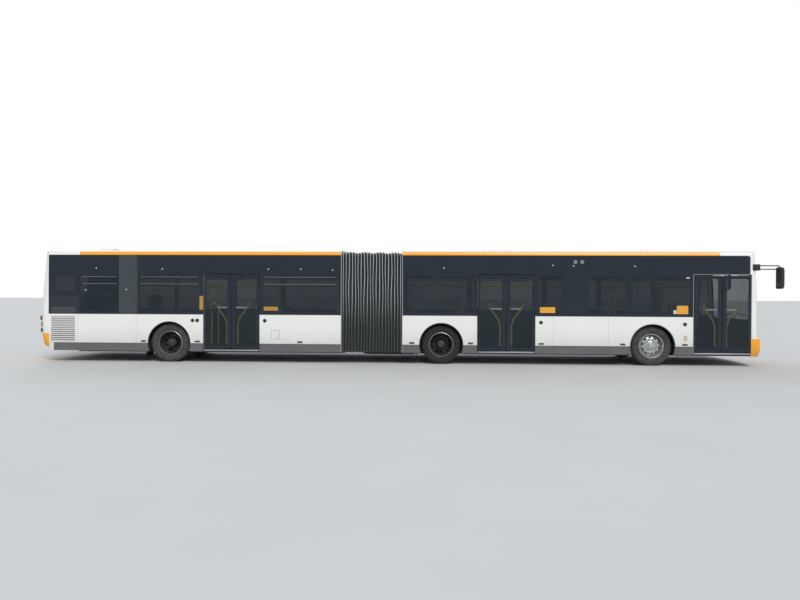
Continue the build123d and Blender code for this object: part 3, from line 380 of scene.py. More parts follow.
mirror_glass = Finish("mirror_glass", Metallic=1.0)
g = mirror_glass.graph
silver = g.blend(g.noise(8, 4), (0.78, 0.8, 0.82), (0.7, 0.72, 0.74))
mirror_glass.set(Base_Color=silver, Roughness=0.03 + g.noise(14, 5) * 0.06)

# Round tail lamps, one above another: their Y, the lowest one's Z and the step up
LAMP_Y, LAMP_Z, LAMP_STEP = 1.13, 0.78, 0.15
ring_lens = Finish("ringed_tail_lens", Coat_Weight=0.6)
g = ring_lens.graph
y, z = g.xyz()[1:]
white_zone, top_zone = z.between(0.86, 1.005), z.above(1.005)
colour = g.blend(white_zone, (0.42, 0.01, 0.012), (0.62, 0.6, 0.6))
colour = g.blend(top_zone, colour, (0.36, 0.012, 0.014))
across, up = abs(y) - 1.12, z - (LAMP_Z + (white_zone + top_zone * 2) * LAMP_STEP)
reach = (across * across + up * up).maths("SQRT")
ring_lens.dress(colour, 0.16, (reach * 700).maths("SINE"), 0.4, 0.0012)

# Shapes


def circle(count, across=1.0, up=None):
    """Points of a round or oval outline."""
    up = across if up is None else up
    return [(across * cos(2 * pi * i / count), up * sin(2 * pi * i / count)) for i in range(count)]


def rounded(x, z, radius, steps=6, inset=0.0):
    """An outline of a rectangle with round corners, at an inset from limits of X and Z."""
    (x0, x1), (z0, z1) = ((low + inset, high - inset) for low, high in (sorted(x), sorted(z)))
    centres = ((x1 - radius, z1 - radius), (x0 + radius, z1 - radius),
               (x0 + radius, z0 + radius), (x1 - radius, z0 + radius))
    turns = [radians(90 * step / steps) for step in range(steps + 1)]
    return [(cx + radius * cos(quarter * pi / 2 + a), cz + radius * sin(quarter * pi / 2 + a))
            for quarter, (cx, cz) in enumerate(centres) for a in turns]


class Shape:
    """Points and faces of one piece, gathered from simple parts."""

    def __init__(self):
        self.points, self.faces, self.slots, self.slot = [], [], [], 0

    def add(self, points, faces):
        base = len(self.points)
        self.points += [tuple(p) for p in points]
        self.faces += [[base + i for i in face] for face in faces]
        self.slots += [self.slot] * len(faces)
        return self

    def box(self, x, y, z):
        """A box between pairs of limits."""
        points = [(a, b, c) for a in sorted(x) for b in sorted(y) for c in sorted(z)]
        faces = [(0, 1, 3, 2), (4, 6, 7, 5), (0, 4, 5, 1), (2, 3, 7, 6), (0, 2, 6, 4), (1, 5, 7, 3)]
        return self.add(points, faces)

    def strip(self, rings, closed_rings=True, caps=True):
        """Skins a row of rings that have the same number of points."""
        count = len(rings[0])
        faces = [(r * count + i, r * count + (i + 1) % count,
                  (r + 1) * count + (i + 1) % count, (r + 1) * count + i)
                 for r in range(len(rings) - 1) for i in range(count if closed_rings else count - 1)]
        if caps:
            last = (len(rings) - 1) * count
            faces += [tuple(reversed(range(count))), tuple(range(last, last + count))]
        return self.add([p for ring in rings for p in ring], faces)

    def plate(self, loop, y_out, y_in):
        """A plate on a side wall from its XZ outline."""
        return self.strip([[(x, y, z) for x, z in loop] for y in (y_out, y_in)])

    def band(self, outer, inner, high, low, put=lambda x, z, y: (x, y, z)):
        """A plate with a hole, between two levels. put() gives a point's place, on a side wall by XZ."""
        layers = ((outer, low), (outer, high), (inner, high), (inner, low), (outer, low))
        return self.strip([[put(a, b, level) for a, b in loop] for loop, level in layers], caps=False)

    def spin(self, profile, centre, count, axis="Y", way=1):
        """A turned part from (radius, offset) points about an axle."""
        order = {"X": (1, 0, 2), "Y": (0, 1, 2), "Z": (0, 2, 1)}[axis]
        rings = []
        for u, w in circle(count):
            spots = [(radius * u, way * offset, radius * w) for radius, offset in profile]
            rings.append([[centre[k] + spot[order[k]] for k in range(3)] for spot in spots])
        return self.strip(rings + rings[:1], closed_rings=False, caps=False)

    def dome(self, x, z, side, radius, height, count=20):
        """A low round cap on a side wall."""
        profile = ((1, 0), (1, 0.4), (0.8, 0.85), (0.45, 1.0))
        return self.strip([[(x + u * share, side * (HALF + height * rise), z + w * share)
                            for u, w in circle(count, radius)] for share, rise in profile])


def mesh_of(shape, weld=False):
    """A shape's mesh with its faces outward."""
    mesh = bpy.data.meshes.new("shape")
    mesh.from_pydata(shape.points, [], shape.faces)
    mesh.polygons.foreach_set("material_index", shape.slots)
    work = bmesh.new()
    work.from_mesh(mesh)
    if weld:
        bmesh.ops.remove_doubles(work, verts=work.verts, dist=1e-6)
    bmesh.ops.recalc_face_normals(work, faces=work.faces)
    work.to_mesh(mesh)
    work.free()
    return mesh


def turned(profile, count):
    return mesh_of(Shape().spin(profile, (0, 0, 0), count), weld=True)


def linked(name, data):
    made = bpy.data.objects.new(name, data)
    scene.collection.objects.link(made)
    return made


def piece(name, form, finishes, body=None, bevel=0.0, smooth=35, stands_for=None, slot=None):
    """Makes an object from a shape or a mesh, with its finishes and soft edges, riding on a body."""
    mesh = mesh_of(form, weld=True) if isinstance(form, Shape) else form
    made = linked(name, mesh)
    mesh.materials.clear()
    for finish in finishes if isinstance(finishes, list) else [finishes]:
        mesh.materials.append(finish.material)
    if smooth:
        mesh.shade_smooth()
        mesh.set_sharp_from_angle(angle=radians(smooth))
    if bevel:
        soft = made.modifiers.new("soft_edges", "BEVEL")
        soft.width, soft.segments, soft.limit_method = bevel, 2, "ANGLE"
        soft.harden_normals = False
    if body:
        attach(made, body)
    if stands_for:
        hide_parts(stands_for)
    return made


def joined(name, meshes, finish, body, **settings):
    """One piece from several meshes of the same finish."""
    work = bmesh.new()
    for mesh in meshes:
        work.from_mesh(mesh)
    whole = bpy.data.meshes.new(name)
    work.to_mesh(whole)
    work.free()
    return piece(name, whole, finish, body, **settings)


def applied(made):
    """The plain mesh that an object's modifiers give. The object goes."""
    made.update_tag()
    bpy.context.view_layer.update()
    shown = made.evaluated_get(bpy.context.evaluated_depsgraph_get())
    mesh = bpy.data.meshes.new_from_object(shown)
    made.modifiers.clear()
    bpy.data.objects.remove(made)
    return mesh


def softened(shape, bevel):
    """A shape's plain mesh with its edges softened."""
    made = linked("soft_shape", mesh_of(shape))
    soft = made.modifiers.new("soft_edges", "BEVEL")
    soft.width, soft.segments = bevel, 2
    return applied(made)


def pressed(shape, thick):
    """An open sheet given its thickness and rounded edges, as a plain mesh."""
    made = linked("sheet", mesh_of(shape))
    wall = made.modifiers.new("thickness", "SOLIDIFY")
    wall.thickness, wall.offset = thick, 0
    soft = made.modifiers.new("rounding", "SUBSURF")
    soft.levels = soft.render_levels = 1
    return applied(made)


# Geometry Nodes


def geometry_tree(name, **inputs):
    """A geometry tree with named inputs; gives its graph and its input values."""
    tree = bpy.data.node_groups.new(name, "GeometryNodeTree")
    for label, kind in {"Geometry": "Geometry", **inputs, "Material": "Material"}.items():
        tree.interface.new_socket(label, in_out="INPUT", socket_type=f"NodeSocket{kind}")
    tree.interface.new_socket("Geometry", in_out="OUTPUT", socket_type="NodeSocketGeometry")
    g = Graph(tree)
    source = tree.nodes.new("NodeGroupInput")
    return g, {socket.name: Value(g, socket) for socket in source.outputs if socket.name}


def ended(g, i, geometry):
    """Ends a tree in real copies that have its material."""
    real = g.add("GeometryNodeRealizeInstances", {0: geometry})
    painted = g.add("GeometryNodeSetMaterial", {"Geometry": real, "Material": i["Material"]})
    g.feed(g.tree.nodes.new("NodeGroupOutput").inputs[0], painted)
    return g.tree


def row_points(g, i):
    """Points along a straight row."""
    line = {"Count": i["Count"], "Start Location": i["Start"], "Offset": i["Step"]}
    return {"Points": g.add("GeometryNodeMeshLine", line, mode="OFFSET")}


def ring_points(g, i):
    """Points in a ring about the Y axis through a centre, each turned with the ring."""
    angle = g.add("GeometryNodeInputIndex") * (2 * pi) / i["Count"]
    reach = g.vector(angle.maths("COSINE") * i["Radius"], 0, angle.maths("SINE") * i["Radius"])
    place = g.add("ShaderNodeVectorMath", {0: reach, 1: i["Centre"]}, operation="ADD")
    points = g.add("GeometryNodePoints", {"Count": i["Count"], "Position": place})
    return {"Points": points, "Rotation": g.vector(0, angle * -1.0, 0)}


def own_points(g, i):
    """The points of the mesh that the tree runs on."""
    return {"Points": i["Geometry"]}


def copying_tree(name, spots, **inputs):
    """A tree that puts a copy of a unit on each spot."""
    g, i = geometry_tree(name, Unit="Object", **inputs)
    copies = {"Instance": g.form_of(i["Unit"]), **spots(g, i)}
    return ended(g, i, g.add("GeometryNodeInstanceOnPoints", copies))


def swept(g, path, sides, radius):
    """A round bar along a curve."""
    ring = g.add("GeometryNodeCurvePrimitiveCircle", {"Resolution": sides, "Radius": radius})
    return g.add("GeometryNodeCurveToMesh", {"Curve": path, "Profile Curve": ring, "Fill Caps": True})


def bent_bar_tree():
    """A round bar along each line of a curve, with bent corners."""
    g, i = geometry_tree("bent_bar", Radius="Float", Bend="Float", Sides="Int")
    bends = {"Curve": i["Geometry"], "Radius": i["Bend"], "Limit Radius": True, "Count": 5}
    path = g.add("GeometryNodeFilletCurve", bends, mode="POLY")
    return ended(g, i, swept(g, path, i["Sides"], i["Radius"]))


ROW_INPUTS = {"Count": "Int", "Start": "Vector", "Step": "Vector"}
ROW = copying_tree("row_of_units", row_points, **ROW_INPUTS)
RING = copying_tree("ring_of_units", ring_points, Count="Int", Radius="Float", Centre="Vector")
SPREAD = copying_tree("unit_on_points", own_points)
BENT_BAR = bent_bar_tree()


def grown(tree, finish, host=None, **values):
    """Runs a geometry tree on an object and gives the plain mesh."""
    host = host or linked("host", bpy.data.meshes.new("host"))
    values["Material"] = finish.material
    modifier = host.modifiers.new("grow", "NODES")
    modifier.node_group = tree
    for item in tree.interface.items_tree:
        if item.in_out == "INPUT" and item.name in values:
            modifier[item.identifier] = values[item.name]
    return applied(host)


def copied(tree, unit, finish, host=None, **values):
    """Copies of a unit, which is a shape or a mesh, as one mesh."""
    made = linked("unit", mesh_of(unit) if isinstance(unit, Shape) else unit)
    mesh = grown(tree, finish, host, Unit=made, **values)
    bpy.data.objects.remove(made)
    return mesh


def row_piece(name, unit, count, start, step, finish, body, **settings):
    mesh = copied(ROW, unit, finish, Count=count, Start=start, Step=step)
    return piece(name, mesh, finish, body, **settings)


def spread_piece(name, places, unit, finish, body, **settings):
    """A unit at each place, as one piece."""
    spots = bpy.data.meshes.new("places")
    spots.from_pydata(places, [], [])
    mesh = copied(SPREAD, unit, finish, linked("places", spots))
    return piece(name, mesh, finish, body, **settings)


def curve_object(lines):
    curve = bpy.data.curves.new("lines", "CURVE")
    curve.dimensions = "3D"
    for line in lines:
        spline = curve.splines.new("POLY")
        spline.points.add(len(line) - 1)
        for point, place in zip(spline.points, line):
            point.co = (*place, 1)
    return linked("lines", curve)


def bars(lines, radius, bend, finish, sides=12):
    """Round bars along lists of points."""
    return grown(BENT_BAR, finish, curve_object(lines), Radius=radius, Bend=bend, Sides=sides)


def bar_piece(name, lines, radius, bend, finish, body, sides=12, **settings):
    return piece(name, bars(lines, radius, bend, finish, sides), finish, body, smooth=60, **settings)


# Finishes of the solids, by name or by the last word of the name
BY_NAME = {
    coach_paint: "front_right_side front_left_side rear_right_side rear_left_side engine_louvres",
    mask_paint: "front_mask rear_mask engine_flap",
    roof_paint: "front_roof rear_roof",
    amber_paint: "front_bumper rear_bumper",
    screen_glass: "windscreen",
    lamp_cover: "head_lamps",
    red_lens: "tail_lamps",
    floor_cover: "front_floor rear_floor",
    chassis: "front_underframe rear_underframe front_car_axles rear_axle left_knuckle right_knuckle",
    cast_grey: "engine",
    black_plastic: "mirrors driver_desk",
    seat_cloth: "front_seats rear_seats",
    yellow_rail: "front_handrails rear_handrails",
    black_print: "front_windows rear_windows",
    bellows_cloth: "bellows",
}
BY_LAST_WORD = {"post": black_plastic, "leaf": door_glass, "tyre": tyre_rubber, "tyres": tyre_rubber,
                "rim": rim_bright, "rims": rim_dark}
finish_of = {node: finish for finish, nodes in BY_NAME.items() for node in nodes.split()}
for node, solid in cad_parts.items():
    finish = finish_of.get(node) or BY_LAST_WORD[node.split("_")[-1]]
    solid.data.materials.clear()
    solid.data.materials.append(finish.material)

# Windows: a black printed band round each clear pane, on rubber joints. Front and rear X of a pane and
# its lowest edge, then the rear and front X of its clear glass.
HEADER, QUARTER = 2.225, 1.649
GLASS, QUARTER_GLASS = (1.262, 2.158), (1.766, 2.135)
PANE_GAP, PANE_THICK, JOINT_DEPTH, PANE_CORNER, GLASS_CORNER = 0.004, 0.006, 0.002, 0.012, 0.045
PANES = {
    ("front", "right"): [
        (8.3525, 7.0605, HEADER), (7.0605, 5.5305, BELT, 5.6, 6.99), (5.5305, 4.0085, BELT, 4.56, 5.46),
        (4.0085, 3.2865, BELT, 3.36, 3.93), (3.2865, 1.8725, HEADER), (1.8725, 0.0325, BELT, 0.11, 1.79),
    ],
    ("front", "left"): [
        (8.3525, 7.0605, BELT, 7.14, 8.29), (7.0605, 5.5305, BELT, 5.6, 6.99),
        (5.5305, 4.0085, BELT, 4.08, 5.46), (4.0085, 1.8725, BELT, 1.95, 3.93),
        (1.8725, 0.0325, BELT, 0.11, 1.79),
    ],
    ("rear", "right"): [
        (-1.4585, -3.4975, BELT, -3.42, -1.54), (-3.4975, -4.9115, HEADER),
        (-4.9115, -6.6055, BELT, -6.54, -4.99), (-6.6055, -8.1045, BELT, -8.04, -7.05),
        (-8.1045, -8.8285, QUARTER, -8.651, -8.155),
    ],
    ("rear", "left"): [
        (-1.4585, -3.4975, BELT, -3.42, -1.54), (-3.4975, -4.9115, BELT, -4.84, -3.57),
        (-4.9115, -6.6055, BELT, -6.54, -4.99), (-6.6055, -8.1045, BELT, -8.04, -6.68),
        (-8.1045, -8.8285, QUARTER),
    ],
}


def glaze(end, word, table):
    """The black band, clear panes and rubber joints of one side of a car."""
    side, car, band, clear, joints = SIDES[word], f"{end}_car", Shape(), Shape(), Shape()
    y_out, y_in = side * HALF, side * (HALF - PANE_THICK)
    joint_y = (side * (HALF - JOINT_DEPTH), y_in)
    for x_front, x_rear, low, *window in table:
        outer = rounded((x_rear + PANE_GAP, x_front - PANE_GAP), (low + PANE_GAP, PANE_TOP), PANE_CORNER)
        if window:
            inner = rounded(window, QUARTER_GLASS if low == QUARTER else GLASS, GLASS_CORNER)
            band.band(outer, inner, y_out, y_in)
            clear.plate(inner, y_out, y_in)
        else:
            band.plate(outer, y_out, y_in)
        joints.box((x_front - PANE_GAP, x_front + PANE_GAP), joint_y, (low, WALL_TOP))
        joints.box((x_rear, x_front), joint_y, (low, low + PANE_GAP))
        joints.box((x_rear, x_front), joint_y, (PANE_TOP, WALL_TOP))
    windows = f"{end}_windows"
    piece(f"{end}_{word}_glazing_band", band, black_print, car, smooth=0, stands_for=windows)
    piece(f"{end}_{word}_window_glass", clear, tinted_glass, car, smooth=0, stands_for=windows,
          slot="tinted_glass")
    piece(f"{end}_{word}_pane_joints", joints, rubber, car, smooth=0)


for (end, word), table in PANES.items():
    glaze(end, word, table)

# Bellows: a pleated hood that follows the body's section, with a binding on each crest, pale at the top
# from painted light
FOLDS, FOLD_DEPTH, HOOD_INSET = 20, 0.07, 0.027
BINDING_RADIUS = 0.0056
HOOD_LENGTH = BELLOWS[1] - BELLOWS[0]
PITCH = HOOD_LENGTH / FOLDS


def section(inset, low=SKIRT_BOTTOM):
    """YZ points of the body's section from the right wall's foot over the roof to the left wall's foot."""
    wall_steps, cove_steps, roof_steps = 40, 10, 16
    w = HALF - inset
    a, h = COVE_WIDTH - inset / 2, COVE_TOP - inset - WALL_TOP
    r = (a * a + h * h) / (2 * a)
    turn = atan2(h, r - a)
    half = [(-w, low + (WALL_TOP - low) * i / wall_steps) for i in range(wall_steps)]
    for i in range(cove_steps):
        angle = turn * i / cove_steps
        half.append((r - w - r * cos(angle), WALL_TOP + r * sin(angle)))
    edge, crown = w - a, ROOF_TOP - COVE_TOP
    for i in range(roof_steps):
        share = 1 - i / roof_steps
        half.append((-edge * share, COVE_TOP - inset + crown * (1 - share * share)))
    return half + [(0.0, ROOF_TOP - inset)] + [(-y, z) for y, z in reversed(half)]


def hung(g, cloth, x, y, z):
    """Cloth at X, Y and Z, lower between four humps along the top and swaying a little lower down."""
    along = (x - BELLOWS[0]) / HOOD_LENGTH
    drop = (1 - abs((along * (4 * pi)).maths("SINE"))) * z.above(2.6, 0.12) * 0.034
    waves = (z * 2.3 + x * 19.0).maths("SINE") + (z * 5.1 - x * 11.0).maths("SINE") * 0.5
    sway = waves * along.between(0.06, 0.94, 0.06) * z.between(0.6, 2.55, 0.35) * 0.009
    place = g.vector(x + sway, y, z - drop)
    return g.add("GeometryNodeSetPosition", {"Geometry": cloth, "Position": place})


def hood_tree():
    """A grid wrapped round the profile, pleated across it."""
    g, i = geometry_tree("pleated_hood", Profile="Object", Folds="Int", Depth="Float", Start="Float",
                         Length="Float", Rows="Int", Columns="Int")
    size = {"Size X": 1.0, "Size Y": 1.0, "Vertices X": i["Rows"], "Vertices Y": i["Columns"]}
    grid = g.add("GeometryNodeMeshGrid", size)
    u, v = (part + 0.5 for part in g.xyz(g.add("GeometryNodeInputPosition"))[:2])
    sample = {"Curves": g.form_of(i["Profile"]), "Factor": v}
    spot = g.add("GeometryNodeSampleCurve", sample, "Position", mode="FACTOR", use_all_curves=True)
    way = g.xyz(spot.output("Tangent"))
    rise = (u * i["Folds"]).maths("PINGPONG", 0.5) * 2.0
    depth = (1 - rise).maths("POWER", 1.25) * i["Depth"]
    y, z = g.xyz(spot)[1:]
    cloth = hung(g, grid, i["Start"] + u * i["Length"], y + depth * way[2], z - depth * way[1])
    return ended(g, i, cloth)


def hoop_tree():
    """A round binding along the profile, once for each fold."""
    g, i = geometry_tree("crest_bindings", Profile="Object", Radius="Float", **ROW_INPUTS)
    copies = {"Instance": swept(g, g.form_of(i["Profile"]), 8, i["Radius"]), **row_points(g, i)}
    hoops = g.add("GeometryNodeInstanceOnPoints", copies)
    real = g.add("GeometryNodeRealizeInstances", {0: hoops})
    return ended(g, i, hung(g, real, *g.xyz(g.add("GeometryNodeInputPosition"))))


hood_line = curve_object([[(0, y, z) for y, z in section(HOOD_INSET)]])
hood_mesh = grown(hood_tree(), bellows_cloth, Profile=hood_line, Folds=FOLDS, Depth=FOLD_DEPTH,
                  Start=BELLOWS[0], Length=HOOD_LENGTH, Rows=FOLDS * 8 + 1, Columns=150)
binding_mesh = grown(hoop_tree(), binding, Profile=hood_line, Radius=BINDING_RADIUS, Count=FOLDS,
                     Start=(BELLOWS[0] + PITCH / 2, 0, 0), Step=(PITCH, 0, 0))
bpy.data.objects.remove(hood_line)
hood = piece("bellows_hood", hood_mesh, bellows_cloth, smooth=50)
bindings = piece("bellows_bindings", binding_mesh, binding, smooth=60)
for cloth in (hood, bindings):
    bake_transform(cloth)
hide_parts("bellows")

# Wheels: profiles as radius and offset from the wheel's middle, outer side positive
GROOVES, GROOVE_DEPTH, GROOVE_TOP, GROOVE_FOOT = (0.078, 0.027), 0.013, 0.0065, 0.0045
SIDE_WALL = [
    (0.2983, 0.094), (0.303, 0.106), (0.316, 0.1155), (0.33, 0.1225), (0.338, 0.125),
    (0.341, 0.1285), (0.35, 0.129), (0.354, 0.1262), (0.378, 0.133), (0.398, 0.1362),
    (0.402, 0.1375), (0.412, 0.1372), (0.416, 0.1345), (0.432, 0.13), (0.446, 0.1245),
    (0.449, 0.1262), (0.458, 0.1215), (0.461, 0.118), (0.47, 0.112), (0.4755, 0.104),
    (TYRE_RADIUS, 0.094),
]
RIM_OUTSIDE = [(0.298, 0.109), (0.3, 0.105), (0.2975, 0.097), (0.284, 0.089), (0.28, 0.045),
               (0.268, 0.028)]
RIM_INSIDE = [(0.29, -0.11), (0.275, -0.095), (0.271, -0.048), (0.26, -0.03)]
RIM_EDGE = [(0.2895, 0.1095), (0.2895, 0.1115), (0.2985, 0.1105), (0.3012, 0.105), (0.299, 0.1035),
            (0.2895, 0.1095)]
FRONT_DISC = [
    (0.266, -0.03), (0.258, -0.012), (0.246, 0.018), (0.236, 0.034), (0.222, 0.046),
    (0.206, 0.054), (0.19, 0.062), (0.176, 0.068), (0.16, 0.07), (0.146, 0.07), (0.132, 0.07),
]
TWIN_DISC = [
    (0.266, 0.118), (0.258, 0.096), (0.248, 0.062), (0.24, 0.038), (0.228, 0.024),
    (0.21, 0.016), (0.194, 0.01), (0.18, 0.007), (0.16, 0.007), (0.146, 0.007), (0.126, 0.007),
]
FRONT_HUB = [
    (0.0, 0.118), (0.03, 0.1175), (0.052, 0.116), (0.064, 0.1115), (0.068, 0.104), (0.069, 0.096),
    (0.086, 0.093), (0.092, 0.09), (0.094, 0.084), (0.112, 0.08), (0.124, 0.076),
    (0.13, 0.07), (0.132, 0.056), (0.132, -0.036), (0.064, -0.036), (0.064, 0.07), (0.0, 0.072),
]
TWIN_HUB = [
    (0.0, 0.212), (0.045, 0.211), (0.07, 0.208), (0.08, 0.2), (0.083, 0.185), (0.096, 0.18),
    (0.1, 0.174), (0.102, 0.15), (0.108, 0.06), (0.122, 0.04), (0.128, 0.02),
    (0.128, -0.058), (0.064, -0.058), (0.064, 0.15), (0.0, 0.152),
]
# Nuts and hub bolts: radius and length, how many, radius of their ring and offset
FRONT_NUTS = ((0.0165, 0.038, 10, 0.1675, 0.075), (0.007, 0.01, 10, 0.08, 0.0935))
TWIN_NUTS = ((0.0165, 0.042, 10, 0.1675, 0.016), (0.0075, 0.012, 12, 0.091, 0.18))
HAND_HOLES, HOLE_ROWS, HOLE_SPAN, DISC_THICK = 10, (4, 5), 8, 0.012
LUGS, LUG_LENGTH, LUG_Y, LUG_RADIUS = 72, 0.017, (0.088, 0.1135), TYRE_RADIUS - 0.0007


def both_ways(profile):
    """A profile followed by its mirror image across the wheel's middle."""
    return profile + [(radius, -offset) for radius, offset in reversed(profile)]


def pressed_disc(profile):
    """A wheel disc, pressed from a sheet with hand holes round it."""
    count, rows = HAND_HOLES * HOLE_SPAN, len(profile)
    faces = []
    for step in range(count):
        for row in range(rows - 1):
            if row not in HOLE_ROWS or not 1 <= step % HOLE_SPAN <= HOLE_SPAN // 2:
                a, b = step * rows + row, (step + 1) % count * rows + row
                faces.append([a, a + 1, b + 1, b])
    points = [(r * u, y, r * w) for u, w in circle(count) for r, y in profile]
    return pressed(Shape().add(points, faces), DISC_THICK)


def nut(radius, length):
    """A wheel nut on its stud, pointing to positive Y."""
    shape = Shape()
    for size, sides, low, high in ((radius * 1.35, 16, 0, length * 0.18),
                                   (radius, 6, length * 0.18, length * 0.8),
                                   (radius * 0.55, 12, length * 0.8, length)):
        levels = ((1, low), (1, high - 0.1 * (high - low)), (0.9, high))
        shape.strip([[(u * share, y, w * share) for u, w in circle(sides, size)] for share, y in levels])
    return shape


def ring_of(unit, finish, count, radius, offset):
    return copied(RING, unit, finish, Count=count, Radius=radius, Centre=(0, offset, 0))


def wheel_parts(disc, hub, nuts, steel):
    """Disc, hub, nuts and hub bolts of a wheel, about the origin."""
    rings = [ring_of(nut(radius, length), steel, *ring) for radius, length, *ring in nuts]
    return [pressed_disc(disc), turned(hub, 64), *rings]


lug = Shape()
for way in (1, -1):
    lug.box((-LUG_LENGTH, 0), [way * y for y in LUG_Y], (-LUG_LENGTH / 2, LUG_LENGTH / 2))
groove = ((0, GROOVE_TOP), (GROOVE_DEPTH, GROOVE_FOOT), (GROOVE_DEPTH, -GROOVE_FOOT), (0, -GROOVE_TOP))
tread = [(TYRE_RADIUS - depth, y + offset) for y in GROOVES for depth, offset in groove]
tyre = turned(both_ways(SIDE_WALL + tread) + SIDE_WALL[:1], 96)
tyre_parts = [tyre, ring_of(lug, tyre_rubber, LUGS, LUG_RADIUS, 0)]
barrel = turned(both_ways(RIM_OUTSIDE) + both_ways(RIM_INSIDE) + RIM_OUTSIDE[:1], 96)
rim_edge = turned(RIM_EDGE, 96)
front_parts = wheel_parts(FRONT_DISC, FRONT_HUB, FRONT_NUTS, rim_bright)
twin_parts = wheel_parts(TWIN_DISC, TWIN_HUB, TWIN_NUTS, rim_dark)


def placed(mesh, centre, side, shift=0.0, flip=False):
    """A copy of a wheel part at its wheel, outer side outward."""
    half_turn = Matrix.Rotation(pi, 4, "Z")
    outward, own = (half_turn if turned_back else Matrix() for turned_back in (side < 0, flip))
    copy = mesh.copy()
    copy.transform(Matrix.Translation(centre) @ outward @ Matrix.Translation((0, shift, 0)) @ own)
    return copy


def whole_wheel(axle, word):
    """Tyres, rims, disc, hub and nuts of one wheel, standing for its solids."""
    name, side, twin = f"{axle}_{word}", SIDES[word], axle != "front"
    body, plural = f"{name}_wheel", "s" if twin else ""
    shifts = (TWIN_STEP / 2, -TWIN_STEP / 2) if twin else (0.0,)
    centre = (AXLES[axle], side * (TYRE_Y - shifts[0]), TYRE_RADIUS)
    tyres = [placed(part, centre, side, shift) for shift in shifts for part in tyre_parts]
    joined(f"{name}_tyre_set", tyres, tyre_rubber, body, smooth=32, stands_for=f"{name}_tyre{plural}",
           slot="tyre")
    parts = [placed(barrel, centre, side, shift) for shift in shifts]
    parts += [placed(part, centre, side) for part in (twin_parts if twin else front_parts)]
    if twin:
        parts.append(placed(twin_parts[0], centre, side, flip=True))
    joined(f"{name}_wheel_disc", parts, rim_dark if twin else rim_bright, body, smooth=32,
           stands_for=f"{name}_rim{plural}", slot="rim_steel" if twin else "front_rim_steel")
    if twin:
        joined(f"{name}_rim_edge", [placed(rim_edge, centre, side, shifts[0])], aluminium, body, smooth=60)


for axle in AXLES:
    for word in SIDES:
        whole_wheel(axle, word)

# Door leaves: a black framed glass with rubber edges, a handle and a bent rail inside
LEAF_Z, LEAF_OUT, LEAF_IN, LEAF_GLASS = (0.346, 2.19), -1.245, -1.21, 0.006
# Outlines on a leaf: inset at the jamb and at the free edge, heights and corner radius
LEAF_LOOPS = ((0, 0, LEAF_Z, 0.022), (0.05, 0.092, (0.415, 2.118), 0.055),
              (0.034, 0.04, (0.392, 2.14), 0.05))
JAMB_GAP, CENTRE_GAP = 0.015, 0.01
GRIP_RADIUS, GRIP_REACH = 0.018, 0.05
RUBBER_HALF, RUBBER_BULGE = 0.0155, 0.0065
HANDLE_Z, HANDLE_ENDS = 1.368, (0.335, 0.105)
# The rail's points: how far from the leaf's free edge, how far inside it and how high
RAIL_LINE = ((0.13, 0, 0.47), (0.13, GRIP_REACH, 0.52), (0.128, GRIP_REACH, 0.97),
             (0.18, GRIP_REACH, 1.12), (0.31, GRIP_REACH, 1.29), (0.4, GRIP_REACH, 1.44),
             (0.415, 0, 1.48))


def leaf(door, word, jamb, way):
    """One leaf, its jamb at X jamb and its free edge in the way's direction."""
    front, rear = DOORS[door]
    start = jamb + way * JAMB_GAP
    end = start + way * ((front - rear) / 2 - JAMB_GAP - CENTRE_GAP)
    name, body = f"{door}_{word}", f"{door}_{word}_leaf"
    outer, clear, behind = (rounded((start + way * at_jamb, end - way * at_edge), z, radius, 8)
                            for at_jamb, at_edge, z, radius in LEAF_LOOPS)
    glass_in = LEAF_OUT + LEAF_GLASS
    piece(f"{name}_glass_border", Shape().band(outer, clear, LEAF_OUT, glass_in), black_print, body,
          smooth=0, stands_for=body, slot="door_leaf")
    piece(f"{name}_glass", Shape().plate(clear, LEAF_OUT, glass_in), door_glass, body, smooth=0)
    piece(f"{name}_frame", Shape().band(outer, behind, glass_in, LEAF_IN), black_plastic, body, bevel=0.002)
    middle, foot = (LEAF_OUT + LEAF_IN) / 2, end - way * 0.004
    ring = [(end + way * RUBBER_BULGE * max(0.0, sin(a)) ** 0.6, middle + RUBBER_HALF * cos(a))
            for a in [pi * i / 10 for i in range(11)]]
    ring += [(foot, middle - RUBBER_HALF), (foot, middle + RUBBER_HALF)]
    edge = Shape().strip([[(*spot, z) for spot in ring] for z in (LEAF_Z[0] + 0.02, LEAF_Z[1] - 0.02)])
    piece(f"{name}_finger_rubber", edge, rubber, body, smooth=50)
    handle_y = LEAF_IN + GRIP_REACH - 0.01
    far, near = (end - way * reach for reach in HANDLE_ENDS)
    handle = [(x, y, HANDLE_Z)
              for x, y in ((far, LEAF_IN), (far, handle_y), (near, handle_y), (near, LEAF_IN))]
    bar_piece(f"{name}_handle", [handle], GRIP_RADIUS, 0.022, grab_bar, body)
    rail = [(end - way * reach, LEAF_IN + inside, z) for reach, inside, z in RAIL_LINE]
    bar_piece(f"{name}_rail", [rail], GRIP_RADIUS, 0.05, yellow_rail, body)


for door, (front, rear) in DOORS.items():
    leaf(door, "front", front, -1)
    leaf(door, "rear", rear, 1)
    sill = Shape().box((rear + 0.012, front - 0.012), (-HALF + 0.001, -HALF + 0.055), (0.292, 0.3225))
    piece(f"{door}_sill_edge", sill, aluminium, car_at(rear), bevel=0.003)

